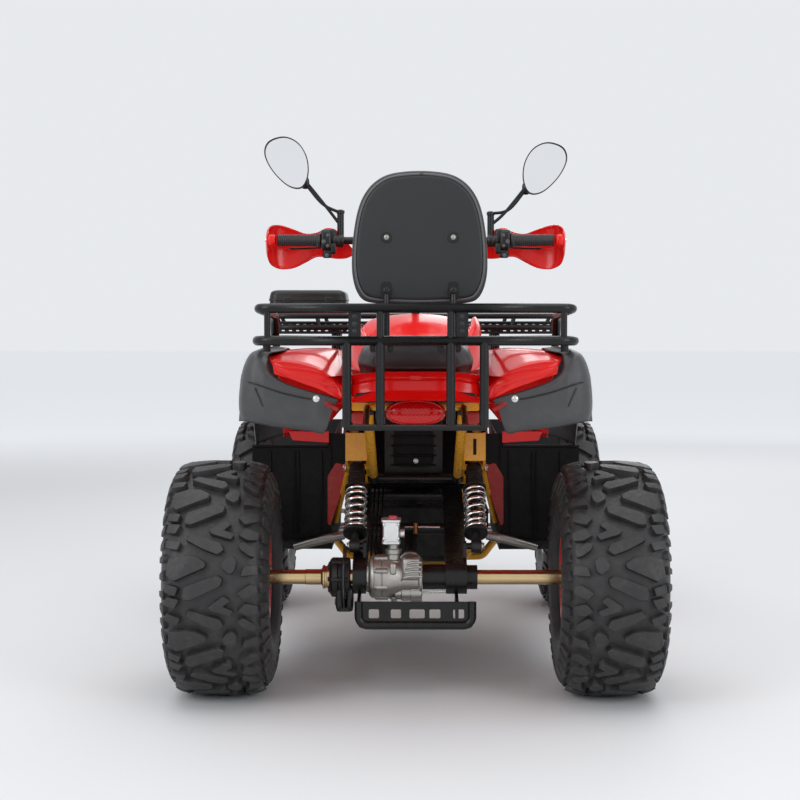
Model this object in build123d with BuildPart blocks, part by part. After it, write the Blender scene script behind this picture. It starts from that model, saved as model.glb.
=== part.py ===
from build123d import *
import os
from math import cos, hypot, radians, sin, tan

os.makedirs("parts", exist_ok=True)

# Utility quad bike in millimetres: +Y is forward, +X is the rider's right, +Z is up.
# The origin lies on the ground, midway between the rearmost and foremost points.

# Overall layout
wheelbase = 1270
overhang = 400
rear_axle_y = -wheelbase / 2
front_axle_y = wheelbase / 2
rear_end_y = rear_axle_y - overhang
front_end_y = front_axle_y + overhang

# Clearances
seat_gap = 0.3
running_gap = 0.4

# Rear wheels and tyres
rear_tyre_radius = 280
rear_tyre_width = 254
rear_track = 916
rear_lug_height = 17
rim_radius = 127
rim_flange = 10
rim_wall = 5
disc_wall = 6
flange_gap = 1

# Front wheels and tyres
front_tyre_radius = 292
front_tyre_width = 178
front_track = 952
front_lug_height = 14
kingpin_x = 400

# Rear axle and drive
shaft_radius = 17.5
hub_radius = 34
brake_disc_radius = 80
brake_disc_x = -170
drive_radius = 52
drive_left_x = -124
drive_right_x = 17
nose_x = -13

# Swinging arm, its two legs as (inner x, outer x)
left_leg = (-150, -118)
right_leg = (73, 123)
pivot_y = -155
pivot_z = 425

# Frame tubes
rail_x = 108
rail_radius = 12
upright_x = 166
cradle_z = 222
cross_radius = 10
front_rail_x = 70
front_lower_z = 250
front_upper_z = 372
front_upright_y = 440
arm_eye_radius = 13
arm_half_base = 110

# Steering
steering_rake = 20
steering_foot_z = 315
bar_y = 285
bar_z = 1126
bar_radius = 11
bar_half_width = 402
grip_radius = 17.5
grip_length = 121
stem_radius = 12
pitman_length = 70
pitman_side = 18
pitman_edge = 14
tie_rod_radius = 7
knuckle_eye_in = 28
knuckle_eye_back = 90

# Bodywork
plastic = 4
fender_half_width = 345
flare_half_width = 413
footwell_inner_x = 217
footwell_outer_x = 419
footwell_floor_z = 300
footwell_top_z = 576

# Racks
rack_tube = 10.5
rear_rack_half_width = 355
rear_rack_z = 852
rear_rack_upper_z = 922
front_rack_z = 885

rear_axle_z = rear_tyre_radius
front_axle_z = front_tyre_radius
rear_wheel_x = rear_track / 2
front_wheel_x = front_track / 2


def run_tube(points, radius, bend=0):
    """Round tube along straight runs joined by tangent bends."""
    with BuildLine() as path:
        if bend:
            FilletPolyline(*points, radius=bend)
        else:
            Polyline(*points)
    with BuildSketch(Plane(origin=path.line @ 0, z_dir=path.line % 0)) as section:
        Circle(radius)
    sweep(sections=section.sketch, path=path.line)


def bar(start, end, radius, mode=Mode.ADD):
    """Straight round bar between two points."""
    along = Vector(*end) - Vector(*start)
    with BuildSketch(Plane(origin=start, z_dir=along)) as section:
        Circle(radius)
    extrude(section.sketch, amount=along.length, mode=mode)


def block(x, y, z, mode=Mode.ADD):
    """Box given by its three ranges."""
    with BuildSketch(Plane.XY.offset(z[0])) as section:
        with Locations(((x[0] + x[1]) / 2, (y[0] + y[1]) / 2)):
            Rectangle(x[1] - x[0], y[1] - y[0])
    extrude(section.sketch, amount=z[1] - z[0], mode=mode)


def side_plate(points, x, bend=0, mode=Mode.ADD):
    """Plate cut to a side outline of (y, z) points, from x[0] to x[1]."""
    with BuildSketch(Plane.YZ.offset(x[0])) as section:
        Polygon(*points, align=None)
        if bend:
            fillet(section.vertices(), bend)
    extrude(section.sketch, amount=x[1] - x[0], mode=mode)


def bent_sheet(points, wall, x, bend):
    """Sheet bent along a side run of (y, z) points, from x[0] to x[1]; a negative wall goes to the right side."""
    with BuildSketch(Plane.YZ.offset(x[0])) as section:
        with BuildLine():
            FilletPolyline(*points, radius=bend)
            offset(amount=abs(wall), side=Side.LEFT if wall > 0 else Side.RIGHT)
        make_face()
    extrude(section.sketch, amount=x[1] - x[0])


def inner_run(points, wall):
    """The same run moved by wall to its lower side, each corner on the bisector of its two sides."""
    normals = []
    for (x0, z0), (x1, z1) in zip(points, points[1:]):
        length = hypot(x1 - x0, z1 - z0)
        normals.append(((z1 - z0) / length, (x0 - x1) / length))
    before = [normals[0]] + normals
    after = normals + [normals[-1]]
    moved = []
    for (x, z), (ax, az), (bx, bz) in zip(points, before, after):
        share = wall / (1 + ax * bx + az * bz)
        moved.append((x + (ax + bx) * share, z + (az + bz) * share))
    return moved


def moulded_skin(stations, wall):
    """Moulded shell: each station is (y, points), the points from the centre out to one edge."""
    sections = []
    for y, half in stations:
        top = [(-x, z) for x, z in reversed(half) if x > 0] + list(half)
        under = list(reversed(inner_run(top, wall)))
        with BuildSketch(Plane.XZ.offset(-y)) as section:
            Polygon(*top, *under, align=None)
        sections.append(section.sketch)
    loft(sections=sections, ruled=True)


def wheel_plane(x, y, z):
    """Plane through a wheel's axis, with its own x along the axle and its y upwards."""
    return Plane(origin=(x, y, z), x_dir=(1, 0, 0), z_dir=(0, -1, 0))


# Tyres: a faceted carcass with directional lugs

def make_tyre(centre, radius, width, lug_height, sides, pitches, profile, lugs):
    """profile holds (share of half width, depth under the crown), lugs hold named outlines."""
    crown = radius - lug_height
    with BuildPart() as tyre:
        for share, depth in profile:
            with BuildSketch(Plane.YZ.offset(share * width / 2)):
                RegularPolygon(crown - depth, sides)
        loft(ruled=True)
        for outline, phase, drop, lean in lugs:
            planes = []
            for pitch in range(pitches):
                angle = radians((pitch + phase) * 360 / pitches)
                out = Vector(0, sin(angle), -cos(angle))
                planes.append(Plane(origin=out * (crown - lug_root - drop), x_dir=(1, 0, 0), z_dir=out))
            with BuildSketch(*planes):
                Polygon(*outline, align=None)
            extrude(amount=lug_height + lug_root + drop - lean)
        with Locations(Location((0, 0, 0), (0, 90, 0))):
            Cylinder(rim_radius + seat_gap, width + 2, mode=Mode.SUBTRACT)
    return tyre.part.moved(Location(centre))


# Carcass columns: share of the half width, depth under the crown
bead_share = 0.74
rear_side = [(bead_share, 134), (bead_share + 0.005, 120), (0.96, 84), (0.95, 34), (0.74, 0)]
front_side = [(bead_share, 149), (bead_share + 0.005, 134), (0.96, 92), (0.94, 34), (0.72, 0)]
rear_carcass = [(-share, depth) for share, depth in rear_side] + list(reversed(rear_side))
front_carcass = [(-share, depth) for share, depth in front_side] + list(reversed(front_side))
lug_root = 4


def mirrored_lug(outline, phase, drop, lean):
    """A lug and its partner on the other half, half a pitch later."""
    partner = [(-x, y) for x, y in reversed(outline)]
    return [(outline, phase, drop, lean), (partner, phase + 0.5, drop, lean)]


rear_lugs = (
    mirrored_lug([(4, -26), (24, -30), (74, 2), (72, 26), (54, 26), (6, -4)], 0, 0, 0)
    + mirrored_lug([(86, -4), (125, -12), (125, 26), (86, 32)], 0, 36, 6)
)
front_lugs = (
    mirrored_lug([(4, -20), (18, -24), (52, 0), (50, 20), (38, 20), (5, -2)], 0, 0, 0)
    + mirrored_lug([(60, -2), (88, -8), (88, 22), (60, 26)], 0, 32, 5)
)

rear_tyre = make_tyre(
    (0, rear_axle_y, rear_axle_z), rear_tyre_radius, rear_tyre_width, rear_lug_height, 22, 11, rear_carcass, rear_lugs
)
front_tyre = make_tyre(
    (0, front_axle_y, front_axle_z), front_tyre_radius, front_tyre_width, front_lug_height, 22, 11, front_carcass,
    front_lugs
)
tyres = {
    "rear_tyre_right": rear_tyre.moved(Location((rear_wheel_x, 0, 0))),
    "rear_tyre_left": rear_tyre.moved(Location((-rear_wheel_x, 0, 0))),
    "front_tyre_right": front_tyre.moved(Location((front_wheel_x, 0, 0))),
    "front_tyre_left": front_tyre.moved(Location((-front_wheel_x, 0, 0))),
}
for name, piece in tyres.items():
    piece.label = name
    export_step(piece, f"parts/{name}.step")


# Rims: a barrel with turned flanges and a pierced disc

def make_rim(side, wheel_x, axle_y, axle_z, width, disc_offset, hub):
    """side is +1 on the right. hub is (bore, outer radius, inner face, outer face) or None."""
    axis = Axis((0, axle_y, axle_z), (1, 0, 0))
    seat = bead_share * width / 2
    disc_in = wheel_x + disc_offset
    with BuildPart() as rim:
        with BuildSketch(wheel_plane(0, axle_y, axle_z)) as barrel:
            with BuildLine():
                Polyline(
                    (wheel_x - seat - 8, rim_radius + rim_flange),
                    (wheel_x - seat - flange_gap, rim_radius + rim_flange),
                    (wheel_x - seat - flange_gap, rim_radius),
                    (wheel_x + seat + flange_gap, rim_radius),
                    (wheel_x + seat + flange_gap, rim_radius + rim_flange),
                    (wheel_x + seat + 8, rim_radius + rim_flange),
                    (wheel_x + seat + 4, rim_radius - rim_wall),
                    (wheel_x - seat - 4, rim_radius - rim_wall),
                    close=True,
                )
            make_face()
        revolve(barrel.sketch, axis=axis)
        with BuildSketch(Plane.YZ.offset(disc_in)) as disc:
            with Locations((axle_y, axle_z)):
                Circle(rim_radius - rim_wall + 1)
                with PolarLocations(84, 8):
                    SlotOverall(44, 22, rotation=90, mode=Mode.SUBTRACT)
                Circle(22, mode=Mode.SUBTRACT)
        extrude(disc.sketch, amount=disc_wall)
        if hub:
            bore, outer, inner_face, outer_face = hub
            with BuildSketch(Plane.YZ.offset(inner_face)) as boss:
                with Locations((axle_y, axle_z)):
                    Circle(outer)
            extrude(boss.sketch, amount=outer_face - inner_face)
            with BuildSketch(Plane.YZ.offset(front_disc_x)) as brake:
                with Locations((axle_y, axle_z)):
                    Circle(front_disc_radius)
            extrude(brake.sketch, amount=4)
            with BuildSketch(Plane.YZ.offset(inner_face - 1)) as hole:
                with Locations((axle_y, axle_z)):
                    Circle(bore)
            extrude(hole.sketch, amount=outer_face - inner_face - 9, mode=Mode.SUBTRACT)
    if side > 0:
        return rim.part
    return rim.part.mirror(Plane.YZ)


rear_disc_offset = 20
front_disc_offset = 22
front_disc_x = 428
front_disc_radius = 88
spindle_radius = 14
front_hub = (spindle_radius + running_gap, 36, 424, front_wheel_x + front_disc_offset + 20)
for side, word in ((1, "right"), (-1, "left")):
    rear_rim = make_rim(side, rear_wheel_x, rear_axle_y, rear_axle_z, rear_tyre_width, rear_disc_offset, None)
    rear_rim.label = f"rear_rim_{word}"
    export_step(rear_rim, f"parts/rear_rim_{word}.step")
    front_rim = make_rim(
        side, front_wheel_x, front_axle_y, front_axle_z, front_tyre_width, front_disc_offset, front_hub
    )
    front_rim.label = f"front_rim_{word}"
    export_step(front_rim, f"parts/front_rim_{word}.step")


# Live rear axle with its hubs, nut, seal collar and brake disc
hub_face = rear_wheel_x + rear_disc_offset - seat_gap
with BuildPart() as rear_axle:
    axle_axis = Axis((0, rear_axle_y, rear_axle_z), (1, 0, 0))
    with BuildSketch(wheel_plane(0, rear_axle_y, rear_axle_z)) as turned:
        with BuildLine():
            Polyline(
                (-hub_face - 28, 0),
                (-hub_face - 28, 14),
                (-hub_face - 8, 21),
                (-hub_face, 21),
                (-hub_face, 62),
                (-hub_face + 8, 62),
                (-hub_face + 8, hub_radius),
                (-350, hub_radius - 6),
                (-350, shaft_radius),
                (-222, shaft_radius),
                (-222, 28),
                (-205, 28),
                (-205, 47),
                (-156, 47),
                (-156, shaft_radius),
                (148, shaft_radius),
                (350, shaft_radius),
                (350, hub_radius - 6),
                (hub_face - 8, hub_radius),
                (hub_face - 8, 62),
                (hub_face, 62),
                (hub_face, 21),
                (hub_face + 8, 21),
                (hub_face + 28, 14),
                (hub_face + 28, 0),
                close=True,
            )
        make_face()
    revolve(turned.sketch, axis=axle_axis)
    with BuildSketch(Plane.YZ.offset(brake_disc_x - 2)) as disc:
        with Locations((rear_axle_y, rear_axle_z)):
            Circle(brake_disc_radius)
            with PolarLocations(64, 8):
                Circle(6, mode=Mode.SUBTRACT)
    extrude(disc.sketch, amount=4)
rear_axle.part.label = "rear_axle"
export_step(rear_axle.part, "parts/rear_axle.step")

# Final drive housing, its pinion nose, drain plug, drive shaft tube and selector motor
shaft_bore = shaft_radius + running_gap
nose_z = rear_axle_z + 20
nose_radius = 27
engine_rear_y = -70
with BuildPart() as final_drive:
    with BuildSketch(wheel_plane(0, rear_axle_y, rear_axle_z)) as housing:
        with BuildLine():
            Polyline(
                (drive_left_x + 6, 0),
                (drive_left_x + 6, 38),
                (drive_left_x + 14, 44),
                (drive_left_x + 14, drive_radius),
                (-79, drive_radius),
                (-78, drive_radius - 3),
                (-76, drive_radius - 3),
                (-75, drive_radius),
                (-40, drive_radius),
                (-22, 44),
                (drive_right_x - 14, 44),
                (drive_right_x - 6, 50),
                (drive_right_x, 50),
                (drive_right_x, 0),
                close=True,
            )
        make_face()
    revolve(housing.sketch, axis=axle_axis)
    bar((nose_x, rear_axle_y - 42, nose_z), (nose_x, rear_axle_y + 90, nose_z), nose_radius)
    bar((nose_x, rear_axle_y + 80, nose_z), (nose_x, engine_rear_y - seat_gap, nose_z), 17)
    block((-79, -38), (rear_axle_y - 26, rear_axle_y + 26), (365, 424))
    bar((-52, rear_axle_y, 300), (-52, rear_axle_y, 366), 19)
    bar((-52, rear_axle_y, 424), (-52, rear_axle_y, 430), 15)
    bar((-45, rear_axle_y - 18, 204), (-45, rear_axle_y - 18, 236), 10)
    fillet(final_drive.edges().filter_by(Axis.Z).filter_by(lambda edge: edge.length > 50), 6)
    bar((-200, rear_axle_y, rear_axle_z), (100, rear_axle_y, rear_axle_z), shaft_bore, Mode.SUBTRACT)
final_drive.part.label = "final_drive"
export_step(final_drive.part, "parts/final_drive.step")

# Swinging arm: two boxed legs, pivot tube, cross tube and axle tube
leg_rear_half = 40
leg_front_half = 29
shock_y = rear_axle_y + 35
shock_z = 350
shock_top_y = -420
shock_top_z = 525
eye_pin = 8
shock_x = (-147, 147)
with BuildPart() as swingarm:
    for inner, outer in (left_leg, right_leg):
        with BuildSketch(Plane.YZ.offset(inner)) as leg:
            with BuildLine():
                Polyline(
                    (rear_axle_y, rear_axle_z - leg_rear_half),
                    (pivot_y, pivot_z - leg_front_half),
                    (pivot_y, pivot_z + leg_front_half),
                    (rear_axle_y, rear_axle_z + leg_rear_half),
                    close=True,
                )
            make_face()
            with Locations((rear_axle_y, rear_axle_z)):
                Circle(leg_rear_half)
            with Locations((pivot_y, pivot_z)):
                Circle(leg_front_half)
        extrude(leg.sketch, amount=outer - inner)
    bar((left_leg[0], pivot_y, pivot_z), (right_leg[1], pivot_y, pivot_z), 22)
    bar((left_leg[1] - 1, -395, 366), (right_leg[0] + 1, -395, 366), 14)
    bar((drive_right_x + seat_gap, rear_axle_y, rear_axle_z), (right_leg[0] + 1, rear_axle_y, rear_axle_z), 30)
    bar((right_leg[1] - 1, rear_axle_y, rear_axle_z), (148, rear_axle_y, rear_axle_z), 29)
    bar((left_leg[1] - 1, rear_axle_y, rear_axle_z), (drive_left_x + 6 - seat_gap, rear_axle_y, rear_axle_z), 34)
    for ear, tip in (((-126, -118), -164), ((115, 123), 164)):
        side_plate(
            [(shock_y - 24, 300), (shock_y + 24, 310), (shock_y + 12, shock_z + 12), (shock_y - 12, shock_z + 12)],
            ear, 6
        )
        bar((ear[0], shock_y, shock_z), (tip, shock_y, shock_z), eye_pin)
    bar((-200, rear_axle_y, rear_axle_z), (200, rear_axle_y, rear_axle_z), shaft_bore, Mode.SUBTRACT)
    bar((-200, pivot_y, pivot_z), (200, pivot_y, pivot_z), 9, Mode.SUBTRACT)
swingarm.part.label = "swingarm"
export_step(swingarm.part, "parts/swingarm.step")

# Brake caliper, open round the disc
with BuildPart() as brake_caliper:
    block((brake_disc_x - 24, brake_disc_x + 18), (rear_axle_y - 40, rear_axle_y + 34), (196, 232))
    fillet(brake_caliper.edges().filter_by(Axis.X), 8)
    block((brake_disc_x - 2 - 1.5, brake_disc_x + 2 + 1.5), (rear_axle_y - 80, rear_axle_y + 80), (190, 240),
          Mode.SUBTRACT)
    block((brake_disc_x - 24, brake_disc_x + 18), (rear_axle_y - 20, rear_axle_y + 20), (185, 196.5))
    block((brake_disc_x + 17, left_leg[0] - seat_gap), (rear_axle_y - 20, rear_axle_y + 20), (200, 260))
brake_caliper.part.label = "brake_caliper"
export_step(brake_caliper.part, "parts/brake_caliper.step")

# Rear skid guard: slotted plate on a bent tube, carried under the legs
guard_y = rear_axle_y - 70
guard_half = 138
with BuildPart() as rear_skid_guard:
    with BuildSketch(Plane.XZ.offset(-guard_y)) as plate:
        with Locations((0, 200)):
            RectangleRounded(2 * guard_half, 64, 16)
        # Slot columns: centre x, width
        for x, width in ((-98, 24), (-46, 24), (4, 36), (46, 26), (102, 26)):
            with Locations((x, 203)):
                RectangleRounded(width, 22, 4, mode=Mode.SUBTRACT)
    extrude(plate.sketch, amount=-5)
    run_tube(
        [(-guard_half + 4, guard_y + 2, 232), (-guard_half + 4, guard_y, 176), (guard_half - 4, guard_y, 176),
         (guard_half - 4, guard_y + 2, 232)], 10, 22
    )
    for inner, outer in (left_leg, right_leg):
        middle = (inner + outer) / 2
        side_plate(
            [(guard_y, 180), (guard_y, 232), (rear_axle_y - 24, rear_axle_z - leg_rear_half - seat_gap),
             (rear_axle_y + 20, rear_axle_z - leg_rear_half - seat_gap), (rear_axle_y + 10, 214)],
            (middle - 4, middle + 4)
        )
rear_skid_guard.part.label = "rear_skid_guard"
export_step(rear_skid_guard.part, "parts/rear_skid_guard.step")


# Steering axis, leaning back as it rises
axis_dir = Vector(0, -sin(radians(steering_rake)), cos(radians(steering_rake)))
stem_top_z = 1040
steering_foot = Vector(0, bar_y + (stem_top_z + 25 - steering_foot_z) * tan(radians(steering_rake)), steering_foot_z)


def on_stem(z):
    """Point of the steering axis at height z."""
    return steering_foot + axis_dir * ((z - steering_foot_z) / axis_dir.Z)


# Frame: bent tubes, cross tubes, pivot bosses, shock brackets and steering bearings
stay_end = (upright_x, pivot_y - 10, pivot_z + 40)
frame_runs = (
    ([(rail_x, -862, 702), (rail_x, -300, 676), (rail_x, 60, 690), (52, 330, 812)], 60),
    ([(rail_x, -856, 696), (rail_x, -345, 490), stay_end], 50),
    ([(rail_x, -120, 680), (upright_x, pivot_y, 600), (upright_x, pivot_y, 300), (rail_x, -40, cradle_z),
      (rail_x, 380, cradle_z), (front_rail_x, 500, front_lower_z), (front_rail_x, 775, front_lower_z),
      (front_rail_x, 790, 400), (front_rail_x, 700, 640), (52, 330, 812)], 40),
    ([(front_rail_x + 20, front_upright_y, front_lower_z - 14), (front_rail_x, front_upright_y, 420), (56, 372, 790)], 40),
)
frame_bars = (
    ((rail_x, -855, 702), (-rail_x, -855, 702), 10),
    ((rail_x, -345, 490), (-rail_x, -345, 490), 10),
    ((rail_x, 0, cradle_z), (-rail_x, 0, cradle_z), cross_radius),
    ((rail_x, 250, cradle_z), (-rail_x, 250, cradle_z), cross_radius),
    ((front_rail_x, 525, front_lower_z), (-front_rail_x, 525, front_lower_z), 10),
    ((front_rail_x, 745, front_lower_z), (-front_rail_x, 745, front_lower_z), 10),
    ((130, 640, 662), (-130, 640, 662), 11),
    ((60, 330, 806), (-60, 330, 806), 10),
)
front_shock_top = (150, 640, 662)
footrest_radius = 11
footrest_z = footwell_floor_z - seat_gap - footrest_radius
bumper_face_y = 800
with BuildPart() as frame:
    for points, bend in frame_runs:
        run_tube(points, rail_radius, bend)
    run_tube([(front_rail_x, front_upright_y, front_upper_z), (front_rail_x, 784, front_upper_z)], rail_radius)
    bar((120, 640, 662), (166, 640, 662), eye_pin)
    # Outer strut down to the footwell
    run_tube([(172, -405, 508), (footwell_inner_x - 7 - seat_gap, -236, 366)], 7)
    # Footrest tube under the footwell floor
    run_tube([(rail_x, 120, cradle_z), (190, 120, cradle_z + 2), (240, 120, footrest_z), (400, 120, footrest_z)],
             footrest_radius, 25)
    # Tab for the front bumper
    block((0, front_rail_x + 20), (776, bumper_face_y), (290, 322))
    side_plate([(-456, 545), (-394, 500), (-394, 560), (-430, 614), (-456, 614)], (118, 124))
    side_plate([(-456, 545), (-394, 500), (-394, 560), (-430, 614), (-456, 614)], (169, 175))
    block((118, 175), (-461, -456), (545, 614))
    bar((rail_x, -430, 570), (122, -430, 570), 9)
    bar((120, shock_top_y, shock_top_z), (170, shock_top_y, shock_top_z), eye_pin)
    mirror(about=Plane.YZ)
    # Pivot bosses beside the swinging arm, and the pin through it
    bar((right_leg[1] + seat_gap, pivot_y, pivot_z), (upright_x, pivot_y, pivot_z), 18)
    bar((left_leg[0] - seat_gap, pivot_y, pivot_z), (-upright_x, pivot_y, pivot_z), 18)
    bar((-upright_x, pivot_y, pivot_z), (upright_x, pivot_y, pivot_z), 9 - seat_gap)
    for start, end, radius in frame_bars:
        bar(start, end, radius)
    # Steering bearings, bored after their cross tubes are in
    for z in (800, 372):
        centre = on_stem(z)
        bar(centre - axis_dir * 18, centre + axis_dir * 18, stem_radius + 9)
        bar((-60, centre.Y, centre.Z), (60, centre.Y, centre.Z), 9)
    bar(on_stem(250), on_stem(900), stem_radius + running_gap, Mode.SUBTRACT)
frame.part.label = "frame"
export_step(frame.part, "parts/frame.step")


# Shock absorbers and their springs, on an axis from a lower to an upper eye

def shock(lower, upper, eye_side, eye_width):
    """Damper with an eye at each end. eye_side is the direction of the eyes' bores."""
    low = Vector(*lower)
    high = Vector(*upper)
    along = (high - low).normalized()
    length = (high - low).length
    across = Vector(*eye_side) * (eye_width / 2)
    bar(low, low + along * (length * 0.62), 9)
    bar(low + along * (length * 0.60), high, 20)
    bar(low + along * 38, low + along * 44, 29)
    bar(low + along * (length * 0.70), low + along * (length * 0.73), 29)
    for end in (low, high):
        bar(end - across, end + across, 16)
    for end in (low, high):
        bar(end - across * 2, end + across * 2, eye_pin + seat_gap, Mode.SUBTRACT)


def coil_sleeve(lower, upper, coils):
    """Spring as turned waves between the damper's two collars."""
    low = Vector(*lower)
    high = Vector(*upper)
    along = (high - low).normalized()
    length = (high - low).length
    start = 44 + seat_gap
    end = length * 0.70 - seat_gap
    pitch = (end - start) / coils
    plane = Plane(origin=low, x_dir=along, z_dir=along.cross(Vector(0.01, 0.02, 1)).cross(along).normalized())
    with BuildSketch(plane) as waves:
        with BuildLine():
            points = [(start, 20 + seat_gap), (start, 24)]
            for coil in range(coils):
                points.append((start + (coil + 0.3) * pitch, 28))
                points.append((start + (coil + 0.6) * pitch, 28))
                points.append((start + (coil + 0.95) * pitch, 24))
            points.append((end, 24))
            points.append((end, 20 + seat_gap))
            Polyline(*points, close=True)
        make_face()
    revolve(waves.sketch, axis=Axis(low, along))


front_shock_low = (290, front_axle_y, 262)
rear_shock_ends = [((x, shock_y, shock_z), (x, shock_top_y, shock_top_z)) for x in shock_x]
front_shock_ends = []
for side in (-1, 1):
    low_x, low_y, low_z = front_shock_low
    top_x, top_y, top_z = front_shock_top
    front_shock_ends.append(((side * low_x, low_y, low_z), (side * top_x, top_y, top_z)))
with BuildPart() as shock_absorbers:
    for low, high in rear_shock_ends:
        shock(low, high, (1, 0, 0), 24)
    for low, high in front_shock_ends:
        shock(low, high, (1, 0, 0), 24)
shock_absorbers.part.label = "shock_absorbers"
export_step(shock_absorbers.part, "parts/shock_absorbers.step")

with BuildPart() as shock_springs:
    for low, high in rear_shock_ends:
        coil_sleeve(low, high, 6)
    for low, high in front_shock_ends:
        coil_sleeve(low, high, 9)
shock_springs.part.label = "shock_springs"
export_step(shock_springs.part, "parts/shock_springs.step")

# Front control arms: two wishbones a side with ball joint cups
arm_eye_x = front_rail_x + rail_radius + seat_gap + arm_eye_radius
knuckle_half = 56
cup_height = 22
lower_cup_top = front_axle_z - knuckle_half - running_gap
upper_cup_base = front_axle_z + knuckle_half + running_gap
with BuildPart() as control_arms:
    # Wishbone columns: height at the frame, height at the ball joint, tube radius
    for inner_z, outer_z, radius in (
        (front_lower_z, lower_cup_top - cup_height / 2, 11), (front_upper_z, upper_cup_base + cup_height / 2, 10)
    ):
        for y in (front_axle_y - arm_half_base, front_axle_y + arm_half_base):
            bar((arm_eye_x, y, inner_z), (kingpin_x - 12, front_axle_y, outer_z), radius)
            bar((arm_eye_x, y - 18, inner_z), (arm_eye_x, y + 18, inner_z), arm_eye_radius)
        bar((kingpin_x, front_axle_y, outer_z - cup_height / 2), (kingpin_x, front_axle_y, outer_z + cup_height / 2), 17)
    side_plate([(front_axle_y - 40, 232), (front_axle_y + 40, 232), (front_axle_y + 12, 278), (front_axle_y - 12, 278)],
               (262, 269))
    bar((266, front_axle_y, front_shock_low[2]), (306, front_axle_y, front_shock_low[2]), eye_pin)
    mirror(about=Plane.YZ)
control_arms.part.label = "control_arms"
export_step(control_arms.part, "parts/control_arms.step")

# Knuckles: kingpin post, spindle, steering arm
knuckle_eye = (kingpin_x - knuckle_eye_in, front_axle_y - knuckle_eye_back)
arm_top_z = 286
for side, word in ((1, "right"), (-1, "left")):
    with BuildPart() as knuckle:
        bar((kingpin_x, front_axle_y, front_axle_z - knuckle_half), (kingpin_x, front_axle_y, front_axle_z + knuckle_half),
            16)
        bar((kingpin_x, front_axle_y, front_axle_z), (front_wheel_x + 10, front_axle_y, front_axle_z), spindle_radius)
        with BuildSketch(Plane.XY.offset(arm_top_z - 10)) as arm:
            with BuildLine():
                Polyline(
                    (kingpin_x - 14, front_axle_y - 4), (knuckle_eye[0] - 11, knuckle_eye[1]),
                    (knuckle_eye[0] + 11, knuckle_eye[1]), (kingpin_x + 14, front_axle_y - 8), close=True
                )
            make_face()
            with Locations(knuckle_eye):
                Circle(14)
        extrude(arm.sketch, amount=10)
        if side < 0:
            mirror(about=Plane.YZ, mode=Mode.REPLACE)
    knuckle.part.label = f"knuckle_{word}"
    export_step(knuckle.part, f"parts/knuckle_{word}.step")

# Tie rods from the pitman arm to above each knuckle's steering arm, with the ball joint's height between
pitman_ball = steering_foot + Vector(0, -cos(radians(steering_rake)), -sin(radians(steering_rake))) * pitman_length
ball_cup_radius = 12
ball_cup_half = 9.5
rod_lift = 12
for side, word in ((1, "right"), (-1, "left")):
    inner_foot = pitman_ball + Vector(side * pitman_side, 0, 0)
    inner = inner_foot + axis_dir * 12
    outer = Vector(side * knuckle_eye[0], knuckle_eye[1], arm_top_z + rod_lift + ball_cup_half)
    with BuildPart() as tie_rod:
        bar(inner, outer, tie_rod_radius)
        bar(inner_foot + axis_dir * running_gap, inner_foot + axis_dir * 22, ball_cup_radius)
        bar(outer - Vector(0, 0, ball_cup_half), outer + Vector(0, 0, ball_cup_half), ball_cup_radius)
    tie_rod.part.label = f"tie_rod_{word}"
    export_step(tie_rod.part, f"parts/tie_rod_{word}.step")

# Steering stem with its pitman arm and bar clamp seat
with BuildPart() as steering_stem:
    bar(steering_foot, on_stem(stem_top_z), stem_radius)
    pitman_plane = Plane(origin=steering_foot, x_dir=(1, 0, 0), z_dir=axis_dir)
    with BuildSketch(pitman_plane) as pitman:
        with BuildLine():
            Polyline((-20, 0), (-pitman_side - pitman_edge, -pitman_length), (pitman_side + pitman_edge, -pitman_length),
                     (20, 0), close=True)
        make_face()
        Circle(20)
    extrude(pitman.sketch, amount=-8)
    with BuildSketch(Plane(origin=on_stem(stem_top_z), x_dir=(1, 0, 0), z_dir=axis_dir)) as seat_plate:
        RectangleRounded(96, 40, 6)
    extrude(seat_plate.sketch, amount=12)
steering_stem.part.label = "steering_stem"
export_step(steering_stem.part, "parts/steering_stem.step")

# Handlebar with its clamp block
clamp_base = on_stem(stem_top_z) + axis_dir * 12
bar_centre = clamp_base + axis_dir * 16
bar_knee = (150, bar_centre.Y + 4, bar_z)
bar_end = (bar_half_width, bar_centre.Y - 24, bar_z)
bar_dir = (Vector(*bar_end) - Vector(*bar_knee)).normalized()
with BuildPart() as handlebar:
    run_tube(
        [(-bar_end[0], bar_end[1], bar_z), (-bar_knee[0], bar_knee[1], bar_z), (-78, bar_centre.Y, bar_centre.Z),
         (78, bar_centre.Y, bar_centre.Z), bar_knee, bar_end], bar_radius, 30
    )
    with BuildSketch(Plane(origin=clamp_base, x_dir=(1, 0, 0), z_dir=axis_dir)) as clamp:
        RectangleRounded(84, 36, 6)
    extrude(clamp.sketch, amount=32)
handlebar.part.label = "handlebar"
export_step(handlebar.part, "parts/handlebar.step")

with BuildPart() as grips:
    bar(Vector(*bar_end) - bar_dir * grip_length, Vector(*bar_end), grip_radius)
    bar(Vector(*bar_end) - bar_dir * grip_length, Vector(*bar_end) - bar_dir * (grip_length - 6), grip_radius + 4)
    bar(Vector(*bar_end) - bar_dir * 200, Vector(*bar_end) + bar_dir * 50, bar_radius + seat_gap, Mode.SUBTRACT)
    mirror(about=Plane.YZ)
grips.part.label = "grips"
export_step(grips.part, "parts/grips.step")

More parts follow.
